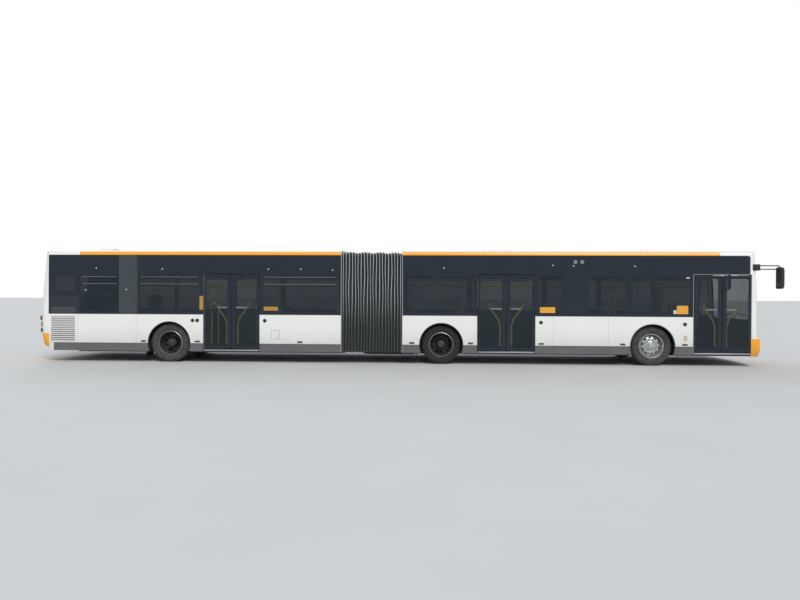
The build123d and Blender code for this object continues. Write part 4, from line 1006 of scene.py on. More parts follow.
# Seats: a moulded shell on a pedestal, with a squab and a back pad stuffed by a cloth simulation.
# Rows as station of the back's foot, sides and the floor under them; all face forward.
SEAT_Y = (0.95, 0.505)
SEAT_ROWS = {
    "front": [(3.9, (1, -1), FLOOR), (4.65, (1, -1), FLOOR), (6.7, (1,), FLOOR)],
    "rear": [(11.25, (1, -1), FLOOR), (12.000, (1,), FLOOR), (13.9, (1,), FLOOR),
             (15.8, (1, -1), PODIUM), (16.6, (1, -1), PODIUM)],
}
STAND_HEIGHT = 0.12
DRIVER_SEAT = (at(1.42), 0.72, FLOOR + STAND_HEIGHT)
SHELL_LINE = [
    (0.414, 0.384), (0.424, 0.394), (0.418, 0.406), (0.4, 0.41), (0.3, 0.404), (0.14, 0.396),
    (0.062, 0.398), (0.022, 0.412), (0.002, 0.45), (-0.006, 0.52), (-0.014, 0.7), (-0.022, 0.88),
    (-0.029, 1.000), (-0.036, 1.036), (-0.048, 1.046), (-0.056, 1.038),
]
SHELL_HALF, SHELL_THICK = 0.212, 0.009
CHANNELS, PAD_CELLS, SWELL, PRESSURE = (-0.571, 0.571), 14, 0.012, 4.0


def pad_mesh(length, width, thick):
    """A sewn pad on its flat base: the mesh, and the points that its seams and channels hold."""
    points, faces, pinned, cells, side = [], [], [], PAD_CELLS, PAD_CELLS + 1
    for sheet in (0, 1):
        for i in range(side):
            for j in range(side):
                u, v = 2 * i / cells - 1, 2 * j / cells - 1
                corner = 1 - 0.1 * (u * v) ** 4
                x = u * length / 2 * (1 - 0.035 * (1 - v * v) * abs(u)) * corner
                y = v * width / 2 * (1 - 0.035 * (1 - u * u) * abs(v)) * corner
                rise = (1 - u**8) * (1 - v**8)
                on_channel = any(abs(v - line) < 0.6 / cells for line in CHANNELS)
                height = thick * (0.55 if on_channel else 0.8) * rise if sheet else 0.0
                if not sheet or abs(u) == 1 or abs(v) == 1 or on_channel:
                    pinned.append(len(points))
                points.append((x, y, height))
        for i in range(cells):
            for j in range(cells):
                a = sheet * side * side + i * side + j
                corners = [a, a + side, a + side + 1, a + 1]
                faces.append(corners if sheet else corners[::-1])
    mesh = bpy.data.meshes.new("pad")
    mesh.from_pydata(points, [], faces)
    rim = [index for index in range(side * side)
           if index // side in (0, cells) or index % side in (0, cells)]
    seam = {index + side * side: index for index in rim}
    work = bmesh.new()
    work.from_mesh(mesh)
    work.verts.ensure_lookup_table()
    bmesh.ops.weld_verts(work, targetmap={work.verts[a]: work.verts[b] for a, b in seam.items()})
    work.to_mesh(mesh)
    work.free()
    kept = [i for i in range(len(points)) if i not in seam]
    return mesh, [kept.index(i) for i in pinned if i not in seam]


def stuffed(mesh, pinned):
    """The pad swelled between its seams by pressure, no point moved too far, then smoothed."""
    made = linked("pad", mesh)
    made.vertex_groups.new(name="seam").add(pinned, 1.0, "REPLACE")
    cloth = made.modifiers.new("stuffing", "CLOTH")
    cloth.settings.vertex_group_mass = "seam"
    cloth.settings.use_pressure = True
    cloth.settings.uniform_pressure_force = PRESSURE
    cloth.settings.effector_weights.gravity = 0.0
    cloth.point_cache.frame_end = 20
    for moment in range(1, 21):
        scene.frame_set(moment)
    swelled = made.evaluated_get(bpy.context.evaluated_depsgraph_get()).to_mesh()
    shifts = [b.co - a.co for a, b in zip(mesh.vertices, swelled.vertices)]
    made.modifiers.remove(cloth)
    scene.frame_set(1)
    for vertex, shift in zip(mesh.vertices, shifts):
        vertex.co += shift * min(1.0, SWELL / max(shift.length, 1e-9))
    soft = made.modifiers.new("smoothing", "SUBSURF")
    soft.levels = soft.render_levels = 1
    return applied(made)


def shell_mesh():
    """The seat's shell, dished across its width and raised towards its edges."""
    across, points = 12, []
    for x, z in SHELL_LINE:
        for j in range(across + 1):
            v = 2 * j / across - 1
            lift = 0.02 * v**6 * (1 if 0.4 < z < 1.03 else 0.3)
            forward = 0.75 if z > 0.43 else 0.1
            points.append((x + lift * forward, v * SHELL_HALF, z + lift * (1 - forward)))
    corners = [i * (across + 1) + j for i in range(len(SHELL_LINE) - 1) for j in range(across)]
    faces = [[a, a + across + 1, a + across + 2, a + 1] for a in corners]
    return pressed(Shape().add(points, faces), SHELL_THICK)


def pedestal():
    """The seat's foot with its floor plate and the two bearers under the shell."""
    shape = Shape().box((0.075, 0.275), (-0.085, 0.085), (0.0, 0.012))
    shape.box((0.095, 0.255), (-0.06, 0.06), (0.012, 0.045))
    ovals = ((0.175, 0.04, 0.075, 0.042), (0.176, 0.2, 0.058, 0.034), (0.178, 0.375, 0.07, 0.046))
    shape.strip([[(x + u, v, z) for u, v in circle(24, long_half, wide_half)]
                 for x, z, long_half, wide_half in ovals])
    for y in (-0.14, 0.14):
        shape.box((0.06, 0.36), (y - 0.016, y + 0.016), (0.372, 0.396))
    return shape.box((0.13, 0.225), (-0.15, 0.15), (0.362, 0.38))


squab = stuffed(*pad_mesh(0.352, 0.388, 0.046))
squab.transform(Matrix.Translation((0.232, 0, 0.406)))
back_pad = stuffed(*pad_mesh(0.52, 0.376, 0.038))
back_up = Vector((-0.026, 0, 0.58)).normalized()
back_face = Vector((back_up.z, 0, -back_up.x))
back_turn = Matrix((back_up, (0, -1, 0), back_face)).transposed().to_4x4()
back_pad.transform(Matrix.Translation((-0.006, 0, 0.74)) @ back_turn)
shell = shell_mesh()
foot = softened(pedestal(), 0.003)
grip_line = [(-0.03, 0.15, 1.03), (-0.04, 0.15, 1.078), (-0.04, 0.02, 1.078), (-0.03, 0.02, 1.03)]
grip = bars([grip_line], 0.01, 0.03, yellow_rail, 10)

for end, rows_of_seats in SEAT_ROWS.items():
    car, seats = f"{end}_car", f"{end}_seats"
    places = [(at(station), side * y, base)
              for station, sides, base in rows_of_seats for side in sides for y in SEAT_Y]
    if end == "front":
        places.append(DRIVER_SEAT)
        stand = Shape().box((at(1.36), at(1.09)), (0.57, 0.87), (FLOOR, FLOOR + STAND_HEIGHT))
        piece("driver_seat_stand", stand, black_plastic, car, bevel=0.012)
    spread_piece(f"{end}_seat_shells", places, shell, seat_shell, car, smooth=45, stands_for=seats,
                 slot="seat_fabric")
    spread_piece(f"{end}_seat_feet", places, foot, grey_plastic, car)
    spread_piece(f"{end}_seat_grips", places, grip, yellow_rail, car, smooth=60)
    for word, pad in (("squabs", squab), ("backs", back_pad)):
        pads = spread_piece(f"{end}_seat_{word}", places, pad, seat_cloth, car, smooth=60,
                            stands_for=seats, slot="seat_fabric")

# Handrails: uprights and an overhead rail on both sides of the aisle, with collars, cups and call boxes
POLES = {"front": (1.85, 3.3, 4.000, 5.3, 7.2, 8.5), "rear": (10.5, 12.15, 13.85, 14.9)}
POLE_Y, RAIL_TOP, RAIL_RADIUS, CALL_BOX_Z = 0.262, 1.95, 0.017, 1.28
CUP = [(0.0, 0.0), (0.04, 0.0), (0.04, 0.006), (0.026, 0.014), (0.021, 0.04), (0.0, 0.04)]
COLLAR = [(0.0165, -0.03), (0.023, -0.028), (0.023, 0.028), (0.0165, 0.03), (0.0165, -0.03)]
cup, collar = (mesh_of(Shape().spin(profile, (0, 0, 0), 24, "Z")) for profile in (CUP, COLLAR))
call_box = softened(Shape().box((-0.016, 0.016), (-0.026, 0.026), (-0.055, 0.055)), 0.006)
for end, stations in POLES.items():
    car, lines, feet, joints = f"{end}_car", [], [], []
    first, *between, last = [at(station) for station in stations]
    for y in (POLE_Y, -POLE_Y):
        lines.append([(first, y, FLOOR), (first, y, RAIL_TOP), (last, y, RAIL_TOP), (last, y, FLOOR)])
        lines += [[(x, y, FLOOR), (x, y, RAIL_TOP)] for x in between]
        feet += [(x, y, FLOOR) for x in (first, *between, last)]
        joints += [(x, y, RAIL_TOP - 0.045) for x in between]
    bar_piece(f"{end}_pole_rails", lines, RAIL_RADIUS, 0.12, yellow_rail, car, 16,
              stands_for=f"{end}_handrails", slot="rail_paint")
    spread_piece(f"{end}_pole_cups", feet, cup, black_plastic, car)
    spread_piece(f"{end}_pole_collars", joints, collar, grey_plastic, car)
    boxes = [(x + 0.03, y, CALL_BOX_Z) for x, y, z in feet[::2]]
    spread_piece(f"{end}_call_boxes", boxes, call_box, red_lens, car)

# Driver's place: desk, instrument cowl, steering wheel and the screen behind the seat
DESK_FRONT, DESK_REAR, DESK_TOP = at(0.26), at(0.62), 1.06
desk_line = [
    (DESK_FRONT, FLOOR), (DESK_FRONT, DESK_TOP), (DESK_REAR + 0.12, DESK_TOP + 0.06),
    (DESK_REAR, DESK_TOP - 0.06), (DESK_REAR + 0.06, DESK_TOP - 0.2), (DESK_REAR + 0.2, FLOOR),
]
piece("dashboard", Shape().plate(desk_line, 0.25, 1.08), black_plastic, "front_car", bevel=0.02,
      stands_for="driver_desk")
cowl_line = [(DESK_REAR + 0.09, 1.1), (DESK_REAR + 0.15, 1.165), (DESK_REAR + 0.25, 1.16),
             (DESK_REAR + 0.29, 1.06)]
piece("instrument_cowl", Shape().plate(cowl_line, 0.5, 0.94), black_plastic, "front_car", bevel=0.015)
WHEEL_CENTRE, WHEEL_TILT, WHEEL_RADIUS, GRIP_HALF = (at(0.64), 0.72, 1.08), radians(-25), 0.225, 0.015
tilt = Matrix.Translation(WHEEL_CENTRE) @ Matrix.Rotation(WHEEL_TILT, 4, "Y")
grip_ring = [(WHEEL_RADIUS + u, w) for u, w in circle(12, GRIP_HALF)]
BOSS = [(0.0, -0.02), (0.07, -0.014), (0.078, 0.004), (0.06, 0.024), (0.0, 0.03)]
COLUMN = [(0.0, 0.02), (0.034, 0.02), (0.038, 0.26), (0.0, 0.26)]
steering_parts = [turned(grip_ring + grip_ring[:1], 64), turned(BOSS, 40), turned(COLUMN, 24)]
for part in steering_parts:
    part.transform(tilt @ Matrix.Rotation(pi / 2, 4, "X"))
spokes = Shape()
for angle in (0.5, pi / 2 + 0.5, -pi / 2 - 0.5, -0.5):
    turn = Matrix.Rotation(angle, 3, "Z")
    spokes.strip([[turn @ Vector((reach, half * u, 0.006 * w))
                   for u, w in ((1, 1), (-1, 1), (-1, -1), (1, -1))]
                  for reach, half in ((0.05, 0.024), (0.14, 0.015), (0.222, 0.018))])
spoke_mesh = softened(spokes, 0.002)
spoke_mesh.transform(tilt)
joined("steering_wheel", [*steering_parts, spoke_mesh], black_plastic, "front_car")
CAB_WALL_TOP, CAB_RAIL_X, CAB_RAIL_Y, CAB_RAIL_TOP = 1.12, at(1.777), (0.315, 1.165), 2.06
cab_wall = Shape().box((at(1.79), at(1.765)), (0.3, 1.18), (FLOOR, CAB_WALL_TOP))
piece("cab_wall", cab_wall, trim_panel, "front_car", bevel=0.004)
cab_glass = Shape().box((at(1.78), at(1.774)), (0.33, 1.15), (CAB_WALL_TOP, 2.05))
piece("cab_screen", cab_glass, screen_glass, "front_car", smooth=0)
cab_line = [(CAB_RAIL_X, CAB_RAIL_Y[0], FLOOR), *((CAB_RAIL_X, y, CAB_RAIL_TOP) for y in CAB_RAIL_Y)]
bar_piece("cab_rail", [cab_line], RAIL_RADIUS, 0.06, yellow_rail, "front_car")

# Ends of the body: heights and how far the face lies back, then the plan's corner radius and bow
FRONT_FACE = [(0.249, 0.05), (0.44, 0.0), (0.66, 0.012), (0.69, 0.092), (1.85, 0.098),
              (2.43, 0.14), (2.83, 0.175)]
REAR_FACE = [(0.279, 0.29), (0.42, 0.06), (0.64, 0.016), (1.08, 0.0), (1.76, 0.045),
             (2.53, 0.118), (2.83, 0.15)]
AHEAD, BEHIND = 1, -1
REAR_CORNER = 0.215
ENDS = {AHEAD: (FRONT, FRONT_FACE, 0.17, 0.08), BEHIND: (REAR, REAR_FACE, REAR_CORNER, 0.07)}


def end_x(way, y, z, out=0.0):
    """X of an end's face at Y and Z, or of a layer that lies outside it."""
    tip, face, corner, bow = ENDS[way]
    lean = face[-1][1]
    for (low, a), (high, b) in zip(face, face[1:]):
        if low <= z <= high:
            lean = a + (b - a) * (z - low) / (high - low)
            break
    flat = HALF - corner
    if abs(y) <= flat:
        radius = (flat * flat + bow * bow) / (2 * bow)
        back = radius - sqrt(radius * radius - y * y)
    else:
        back = bow + corner - sqrt(max(0.0, corner * corner - (abs(y) - flat) ** 2))
    return tip - way * (lean + back - out)


def end_sheet(way, y, z, out, thick, rows=6):
    """A thin slab that follows an end's face between limits of Y and Z."""
    columns, rings = 24, []
    across = [y[0] + (y[1] - y[0]) * i / columns for i in range(columns + 1)]
    for row in range(rows + 1):
        height = z[0] + (z[1] - z[0]) * row / rows
        outside = [(end_x(way, a, height, out), a, height) for a in across]
        rings.append(outside + [(end_x(way, a, height, out - thick), a, height) for a in reversed(across)])
    return Shape().strip(rings)


def dense(loop, parts=14, corner=7):
    """A rounded outline with its four straight sides cut into parts."""
    full = []
    for index, (a, b) in enumerate(zip(loop, loop[1:] + loop[:1])):
        steps = parts if index % corner == corner - 1 else 1
        full += [(a[0] + (b[0] - a[0]) * k / steps, a[1] + (b[1] - a[1]) * k / steps) for k in range(steps)]
    return full


def end_band(way, outer, inner, out, thick):
    """A band between two YZ outlines that follows an end's face."""
    return Shape().band(outer, inner, out, out - thick, lambda y, z, layer: (end_x(way, y, z, layer), y, z))


def window_trim(name, way, half, z, width, corner):
    """The printed border of an end's window and the seal round it."""
    car = "front_car" if way == AHEAD else "rear_car"
    for part, finish, wide, grow in (("border", black_print, width, 0.0), ("seal", rubber, 0.014, 0.008)):
        outer = dense(rounded((-half, half), z, corner, inset=-grow))
        inner = dense(rounded((-half, half), z, corner + 0.02, inset=wide - grow))
        piece(f"{name}_{part}", end_band(way, outer, inner, 0.0012, 0.004), finish, car, smooth=60)


def end_line(way, *points):
    """A line of points given as Y, Z and distance from an end's face."""
    return [(end_x(way, y, z, out), y, z) for y, z, out in points]


# Front: windscreen border and seal, blank display, wipers, service flap
FLAP_Y, FLAP_Z, FLAP_GAP = 0.93, (0.735, 1.000), 0.006
window_trim("windscreen", AHEAD, 1.118, (1.042, 2.598), 0.072, 0.05)
display = end_sheet(AHEAD, (-0.95, 0.95), (2.27, 2.545), -0.075, 0.045)
piece("display_box", display, black_plastic, "front_car", smooth=40)
display = end_sheet(AHEAD, (-0.9, 0.9), (2.3, 2.515), -0.07, 0.005)
piece("display_panel", display, rubber, "front_car", smooth=40)
flap_lines = [dense(rounded((-FLAP_Y, FLAP_Y), FLAP_Z, 0.04, inset=d)) for d in (0.0, FLAP_GAP)]
piece("service_flap_joint", end_band(AHEAD, *flap_lines, 0.0008, 0.003), rubber, "front_car", smooth=60)
WIPER_PIVOT, WIPER_TIP = (0.8, 0.985), (0.43, 1.225)
WIPER_CAP = [(0.0, 0.042), (0.02, 0.04), (0.027, 0.03), (0.03, -0.01), (0.0, -0.01)]
arms, blades = [], []
for side in SIDES.values():
    pivot, tip = (side * WIPER_PIVOT[0], WIPER_PIVOT[1]), (side * WIPER_TIP[0], WIPER_TIP[1])
    arms.append(end_line(AHEAD, (*pivot, -0.01), (*pivot, 0.03), (*tip, 0.034), (*tip, 0.016)))
    blades.append(end_line(AHEAD, (side * 0.77, 1.17, 0.014), (*tip, 0.014), (side * 0.09, 1.262, 0.014)))
bar_piece("wiper_arms", arms, 0.008, 0.015, black_plastic, "front_car")
bar_piece("wiper_blades", blades, 0.0095, 0.05, rubber, "front_car")
for word, side in SIDES.items():
    y, z = side * WIPER_PIVOT[0], WIPER_PIVOT[1]
    cap = Shape().spin(WIPER_CAP, (end_x(AHEAD, y, z), y, z), 24, "X")
    piece(f"front_{word}_wiper_cap", cap, black_plastic, "front_car")

# Head lamps: a dark housing with three bowls behind a clear cover
BOWL = [(0.0, -0.034), (0.03, -0.03), (0.05, -0.006), (0.0545, 0.01), (0.0585, 0.01), (0.054, -0.008),
        (0.032, -0.036), (0.0, -0.04)]
BULB = [(0.0, 0.006), (0.008, 0.003), (0.011, -0.008), (0.011, -0.034), (0.0, -0.034)]
BOWLS_Y, BOWL_Z = (0.76, 0.868, 0.966), 0.5775
COVER_Y, COVER_Z, HOUSING_GROW = (0.692, 1.018), (0.502, 0.653), 0.006
for word, side in SIDES.items():
    cover = end_sheet(AHEAD, [side * y for y in COVER_Y], COVER_Z, 0.0, 0.004)
    piece(f"{word}_lamp_cover", cover, lamp_cover, "front_car", smooth=50, stands_for="head_lamps",
          slot="lamp_glass")
    (y0, y1), (z0, z1), d = COVER_Y, COVER_Z, HOUSING_GROW
    housing = end_sheet(AHEAD, (side * (y0 - d), side * (y1 + d)), (z0 - d, z1 + d), -0.061, 0.01)
    piece(f"{word}_lamp_housing", housing, black_plastic, "front_car", smooth=50)
    bowls, bulbs = Shape(), Shape()
    for index, y in enumerate(BOWLS_Y):
        place = (end_x(AHEAD, y, BOWL_Z, -0.03), side * y, BOWL_Z)
        bowls.spin(BOWL, place, 40, "X")
        bulbs.slot = 1 if index == 2 else 0
        bulbs.spin(BULB, place, 20, "X")
    piece(f"{word}_lamp_bowls", bowls, lamp_bowl, "front_car", smooth=50)
    piece(f"{word}_lamp_bulbs", bulbs, [clear_lens, amber_lens], "front_car", smooth=50)

# Mirrors: rounded housings on two bars, with a main and a wide-angle glass that look back.
# The housing's sections: distance ahead of the front face, inset and corner radius.
MIRROR_Y, MIRROR_HALF, MIRROR_Z = 1.24, 0.11, (1.88, 2.4)
HOUSING = ((0.272, 0.012, 0.03), (0.265, 0.008, 0.034), (0.268, 0.0, 0.042), (0.312, 0.0, 0.042),
           (0.345, 0.01, 0.046), (0.364, 0.03, 0.052), (0.373, 0.06, 0.04))
MIRROR_PANES, PANE_INSET = ((2.04, 2.4), (1.882, 2.064)), 0.022
ARM_UPPER, ARM_LOWER, ARM_FOOT, ARM_INSET, ARM_AHEAD = 2.437, 2.352, 2.3, 0.04, 0.315
ROOT_X, ROOT_Y, ROOT_Z = (8.46, 8.64), (1.12, 1.262), (2.318, 2.472)
for word, side in SIDES.items():
    limits = (side * MIRROR_Y - MIRROR_HALF, side * MIRROR_Y + MIRROR_HALF)
    rings = [[(FRONT + ahead, y, z) for y, z in rounded(limits, MIRROR_Z, radius, inset=d)]
             for ahead, d, radius in HOUSING]
    piece(f"{word}_mirror_housing", Shape().strip(rings), black_plastic, "front_car", smooth=50,
          stands_for="mirrors", slot="black_plastic")
    panes = Shape()
    for heights in MIRROR_PANES:
        loop = rounded(limits, heights, 0.022, inset=PANE_INSET)
        panes.strip([[(FRONT + ahead, y, z) for y, z in loop] for ahead in (0.2685, 0.2745)])
    piece(f"{word}_mirror_glass", panes, mirror_glass, "front_car", smooth=0)
    y, root_x, post_x = side * (MIRROR_Y - ARM_INSET), at(0.3), FRONT + ARM_AHEAD
    lines = [[(root_x, y, ARM_UPPER), (post_x, y, ARM_UPPER), (post_x, y, ARM_FOOT)],
             [(root_x, y, ARM_LOWER), (post_x, y, ARM_LOWER)]]
    bar_piece(f"{word}_mirror_arms", lines, 0.013, 0.03, black_plastic, "front_car", 16)
    root = Shape().box(ROOT_X, [side * y for y in ROOT_Y], ROOT_Z)
    piece(f"{word}_mirror_root", root, black_plastic, "front_car", bevel=0.022)

# Rear: window pane with its border, ringed lamps, the engine flap's grille, handle and locks
REAR_GLASS_Y, REAR_GLASS_Z = 0.978, (1.642, 2.248)
pane = end_sheet(BEHIND, (-REAR_GLASS_Y, REAR_GLASS_Y), REAR_GLASS_Z, 0.0, PANE_THICK)
piece("rear_window_pane", pane, tinted_glass, "rear_car", smooth=60, stands_for="rear_windows",
      slot="tinted_glass")
window_trim("rear_window", BEHIND, REAR_GLASS_Y, REAR_GLASS_Z, 0.07, 0.045)

LENS = [(0.0, 0.046), (0.018, 0.044), (0.036, 0.037), (0.05, 0.025), (0.0575, 0.008), (0.058, -0.022),
        (0.0, -0.022)]
BEZEL = [(0.0575, 0.004), (0.062, 0.012), (0.069, 0.009), (0.072, 0.0), (0.072, -0.02),
         (0.0575, -0.02), (0.0575, 0.004)]


def tail_lamp_parts(profile, side):
    """A turned part at each tail lamp, square to the rounded corner."""
    away = asin((LAMP_Y - HALF + REAR_CORNER) / REAR_CORNER)
    parts = []
    for z in (LAMP_Z + LAMP_STEP * i for i in range(3)):
        part = turned([(radius, side * offset) for radius, offset in profile], 40)
        spot = Matrix.Translation((end_x(BEHIND, LAMP_Y, z), side * LAMP_Y, z))
        part.transform(spot @ Matrix.Rotation(side * (pi / 2 - away), 4, "Z"))
        parts.append(part)
    return parts


for word, side in SIDES.items():
    joined(f"{word}_tail_lenses", tail_lamp_parts(LENS, side), ring_lens, "rear_car", smooth=50,
           stands_for="tail_lamps", slot="red_lamp")
    joined(f"{word}_tail_bezels", tail_lamp_parts(BEZEL, side), black_plastic, "rear_car", smooth=50)

# The grille's half width, foot and top, and the step from slat to slat
GRILLE_Y, GRILLE_Z, SLATS, SLAT_STEP = (-0.6, 0.6), (1.17, 1.46), 9, (0.002, 0.0, 0.03)
backing = end_sheet(BEHIND, GRILLE_Y, GRILLE_Z, 0.0012, 0.004)
piece("grille_backing", backing, rubber, "engine_flap", smooth=50)
slat = end_sheet(BEHIND, GRILLE_Y, (GRILLE_Z[0] + 0.012, GRILLE_Z[0] + 0.024), 0.004, 0.008, rows=1)
row_piece("grille_slats", slat, SLATS, (0, 0, 0), SLAT_STEP, mask_paint, "engine_flap", smooth=40)
edges = [dense(rounded(GRILLE_Y, GRILLE_Z, 0.02 + d, inset=-d)) for d in (0.014, 0.0)]
piece("grille_frame", end_band(BEHIND, *edges, 0.004, 0.008), mask_paint, "engine_flap", smooth=50)
GRAB_Y, GRAB_Z = 0.11, 0.772
recess = dense(rounded((-0.15, 0.15), (GRAB_Z - 0.03, GRAB_Z + 0.03), 0.022), 6)
heart = [(y * 0.02, GRAB_Z + (z - GRAB_Z) * 0.02) for y, z in recess]
piece("flap_recess", end_band(BEHIND, recess, heart, 0.001, 0.003), black_plastic, "engine_flap", smooth=50)
grab = end_line(BEHIND, (-GRAB_Y, GRAB_Z, -0.006), (-GRAB_Y, GRAB_Z, 0.004), (GRAB_Y, GRAB_Z, 0.004),
                (GRAB_Y, GRAB_Z, -0.006))
bar_piece("flap_handle", [grab], 0.005, 0.004, grey_plastic, "engine_flap")
LOCK = [(0.0, 0.004), (0.014, 0.004), (0.016, 0.002), (0.021, 0.002), (0.023, 0.006), (0.027, 0.005),
        (0.028, -0.002), (0.0, -0.002)]
WALL_LOCK = [(radius * 1.65, offset) for radius, offset in LOCK]
flap_locks = Shape()
for y in (-0.76, 0.76):
    flap_locks.spin(LOCK, (end_x(BEHIND, y, 0.79), y, 0.79), 28, "X", BEHIND)
piece("flap_locks", flap_locks, black_plastic, "engine_flap", smooth=50)

# Sides: white dots that stand for glints (painted highlights), locks, side lamps, blank film patches and
# small joints, as X and Z
GLINT_DOTS = {
    "front": [(1.058, 2.357), (3.702, 2.431), (4.198, 2.42), (5.668, 2.414)],
    "rear": [(-7.623, 2.343), (-5.944, 2.322), (-3.278, 2.324), (-2.466, 2.324), (-1.681, 2.301),
             (-7.891, 1.794), (-6.857, 1.806)],
}
LOCKS = {
    ("front", "right"): [(3.421, 1.039), (6.869, 1.015)],
    ("front", "left"): [(3.42, 1.04), (6.87, 1.04)],
    ("rear", "right"): [(-5.178, 1.043), (-5.062, 1.044), (-3.367, 1.046)],
    ("rear", "left"): [(-7.9, 1.04), (-6.7, 1.04), (-2.2, 1.04)],
}
SIDE_LAMPS = {"front": (0.278, 1.714, 3.43, 5.39, 6.87), "rear": (-6.42, -5.06, -2.49)}
FILMS = {
    "front": [(3.392, 3.762, 1.274, 1.414, yellow_film), (6.673, 6.943, 1.262, 1.463, yellow_film),
              (6.591, 6.67, 1.264, 1.354, white_dot), (6.838, 6.922, 0.61, 0.74, pink_film)],
    "rear": [(-3.393, -3.038, 1.296, 1.393, orange_film), (-5.004, -4.911, 1.311, 1.651, orange_film)],
}


def wall_pieces(end, word):
    """Locks and side lamps of one side of a car."""
    side, car = SIDES[word], f"{end}_car"
    locks, lenses, bases = Shape(), Shape(), Shape()
    for x, z in LOCKS[end, word]:
        locks.spin(WALL_LOCK, (x, side * HALF, z), 32, "Y", side)
    for x in SIDE_LAMPS[end]:
        for shape, wide, z, radius, out in ((bases, 0.062, (0.5, 0.542), 0.012, 0.005),
                                            (lenses, 0.054, (0.506, 0.536), 0.01, 0.014)):
            shape.plate(rounded((x - wide, x + wide), z, radius), side * HALF, side * (HALF + out))
    piece(f"{end}_{word}_locks", locks, black_plastic, car, smooth=50)
    piece(f"{end}_{word}_lamp_bases", bases, black_plastic, car)
    piece(f"{end}_{word}_side_lamps", lenses, side_lens, car, bevel=0.003)


for end in ("front", "rear"):
    car, dots, discs = f"{end}_car", Shape(), Shape()
    # Small white domes where glints show: painted highlights.
    for x, z in GLINT_DOTS[end]:
        dots.dome(x, z, RIGHT, 0.017, 0.004)
    if end == "front":
        for x in (4.243, 4.404):
            discs.dome(x, 2.515, RIGHT, 0.048, 0.004, 32)
        piece("front_right_discs", discs, pale_disc, car)
        dots.plate(rounded((6.89, 6.972), (2.118, 2.152), 0.016), -HALF, -HALF - 0.006)
    piece(f"{end}_right_dots", dots, white_dot, car)
    wall_pieces(end, "right")
    wall_pieces(end, "left")
    for number, (x0, x1, z0, z1, film) in enumerate(FILMS[end]):
        y = -HALF - (0.0008 if z0 > BELT else 0.0006)
        patch = Shape().plate(rounded((x0, x1), (z0, z1), 0.008), y, -HALF + 0.001)
        piece(f"{end}_film_{number}", patch, film, car, smooth=0)
filler = [rounded((-3.209, -2.999), (0.593, 0.812), 0.018, inset=d) for d in (0.0, 0.005)]
filler_joint = Shape().band(*filler, -HALF - 0.0006, -HALF + 0.002)
piece("filler_flap_joint", filler_joint, rubber, "rear_car", smooth=0)
vent_bar = Shape().plate(rounded((-8.78, -8.16), (0.0, 0.012), 0.003, 3), -HALF - 0.003, -HALF + 0.002)
row_piece("quarter_vent_bars", vent_bar, 3, (0, 0, 1.232), (0, 0, 0.052), grey_plastic, "rear_car")

# Hopper windows: a bar below and above, as middle height, half height and inset, with a light line on it,
# and a post in the middle of the wide ones. The front car has none on the right.
HOPPER_LEAST, HOPPER_WIDE, HOPPER_POST = 0.85, 1.2, 0.016
HOPPER_BARS = ((1.95, 0.012, 0.004), (2.125, 0.011, 0.03))
for (end, word), table in PANES.items():
    if (end, word) == ("front", "right"):
        continue
    side, dark, light = SIDES[word], Shape(), Shape()
    face, back, line = side * (HALF + 0.001), side * (HALF - 0.012), side * (HALF + 0.0022)
    for x_front, x_rear, low, *window in table:
        if low == QUARTER or not window or window[1] - window[0] < HOPPER_LEAST:
            continue
        rear, front = window
        middle = (rear + front) / 2
        for z, half, inset in HOPPER_BARS:
            dark.box((rear + inset, front - inset), (face, back), (z - half, z + half))
            light.box((rear + 0.045, front - 0.045), (line, face), (z - 0.003, z + 0.003))
        if front - rear > HOPPER_WIDE:
            dark.box((middle - HOPPER_POST, middle + HOPPER_POST), (face, back), (1.95, 2.13))
    piece(f"{end}_{word}_hopper_bars", dark, black_print, f"{end}_car", smooth=0)
    piece(f"{end}_{word}_hopper_lights", light, aluminium, f"{end}_car", smooth=0)


HOOP_WIDTH, HOOP_PROUD, HOOP_DEPTH = 0.0155, 0.003, 0.007


def body_hoop(x):
    """A flat band round the body's section, forward from X."""
    ends = (x, x + HOOP_WIDTH)
    outer, inner = section(-HOOP_PROUD), section(HOOP_DEPTH)
    return Shape().strip([[(ends[0], *a), (ends[1], *a), (ends[1], *b), (ends[0], *b)]
                          for a, b in zip(outer, inner)])


for end, x in (("front", BELLOWS[1] + 0.0005), ("rear", BELLOWS[0] - 0.016)):
    piece(f"{end}_joint_hoop", body_hoop(x), aluminium, f"{end}_car", smooth=50)

# Wheel arch edges, as radius beyond the arch and Y beyond the wall, and mud flaps
ARCH_EDGE = ((-0.01, -0.055), (-0.01, 0.004), (0.014, 0.004), (0.014, -0.001), (-0.002, -0.001),
             (-0.002, -0.055))
ARCH_STEPS = 48
MUD_FLAP_BACK, MUD_FLAP_Y, MUD_FLAP_Z = (0.61, 0.6), (0.78, 1.18), (0.13, 0.335)
start = asin((SKIRT_BOTTOM - TYRE_RADIUS) / ARCH)
for axle, centre in AXLES.items():
    for word, side in SIDES.items():
        rings = []
        for angle in (start + (pi - 2 * start) * step / ARCH_STEPS for step in range(ARCH_STEPS + 1)):
            rings.append([(centre + (ARCH + r) * cos(angle), side * (HALF + y),
                           TYRE_RADIUS + (ARCH + r) * sin(angle)) for r, y in ARCH_EDGE])
        piece(f"{axle}_{word}_arch_edge", Shape().strip(rings), rubber, car_at(centre), smooth=50)
        flap = Shape().box([centre - back for back in MUD_FLAP_BACK], [side * y for y in MUD_FLAP_Y],
                           MUD_FLAP_Z)
        piece(f"{axle}_{word}_mud_flap", flap, rubber, car_at(centre), bevel=0.003)

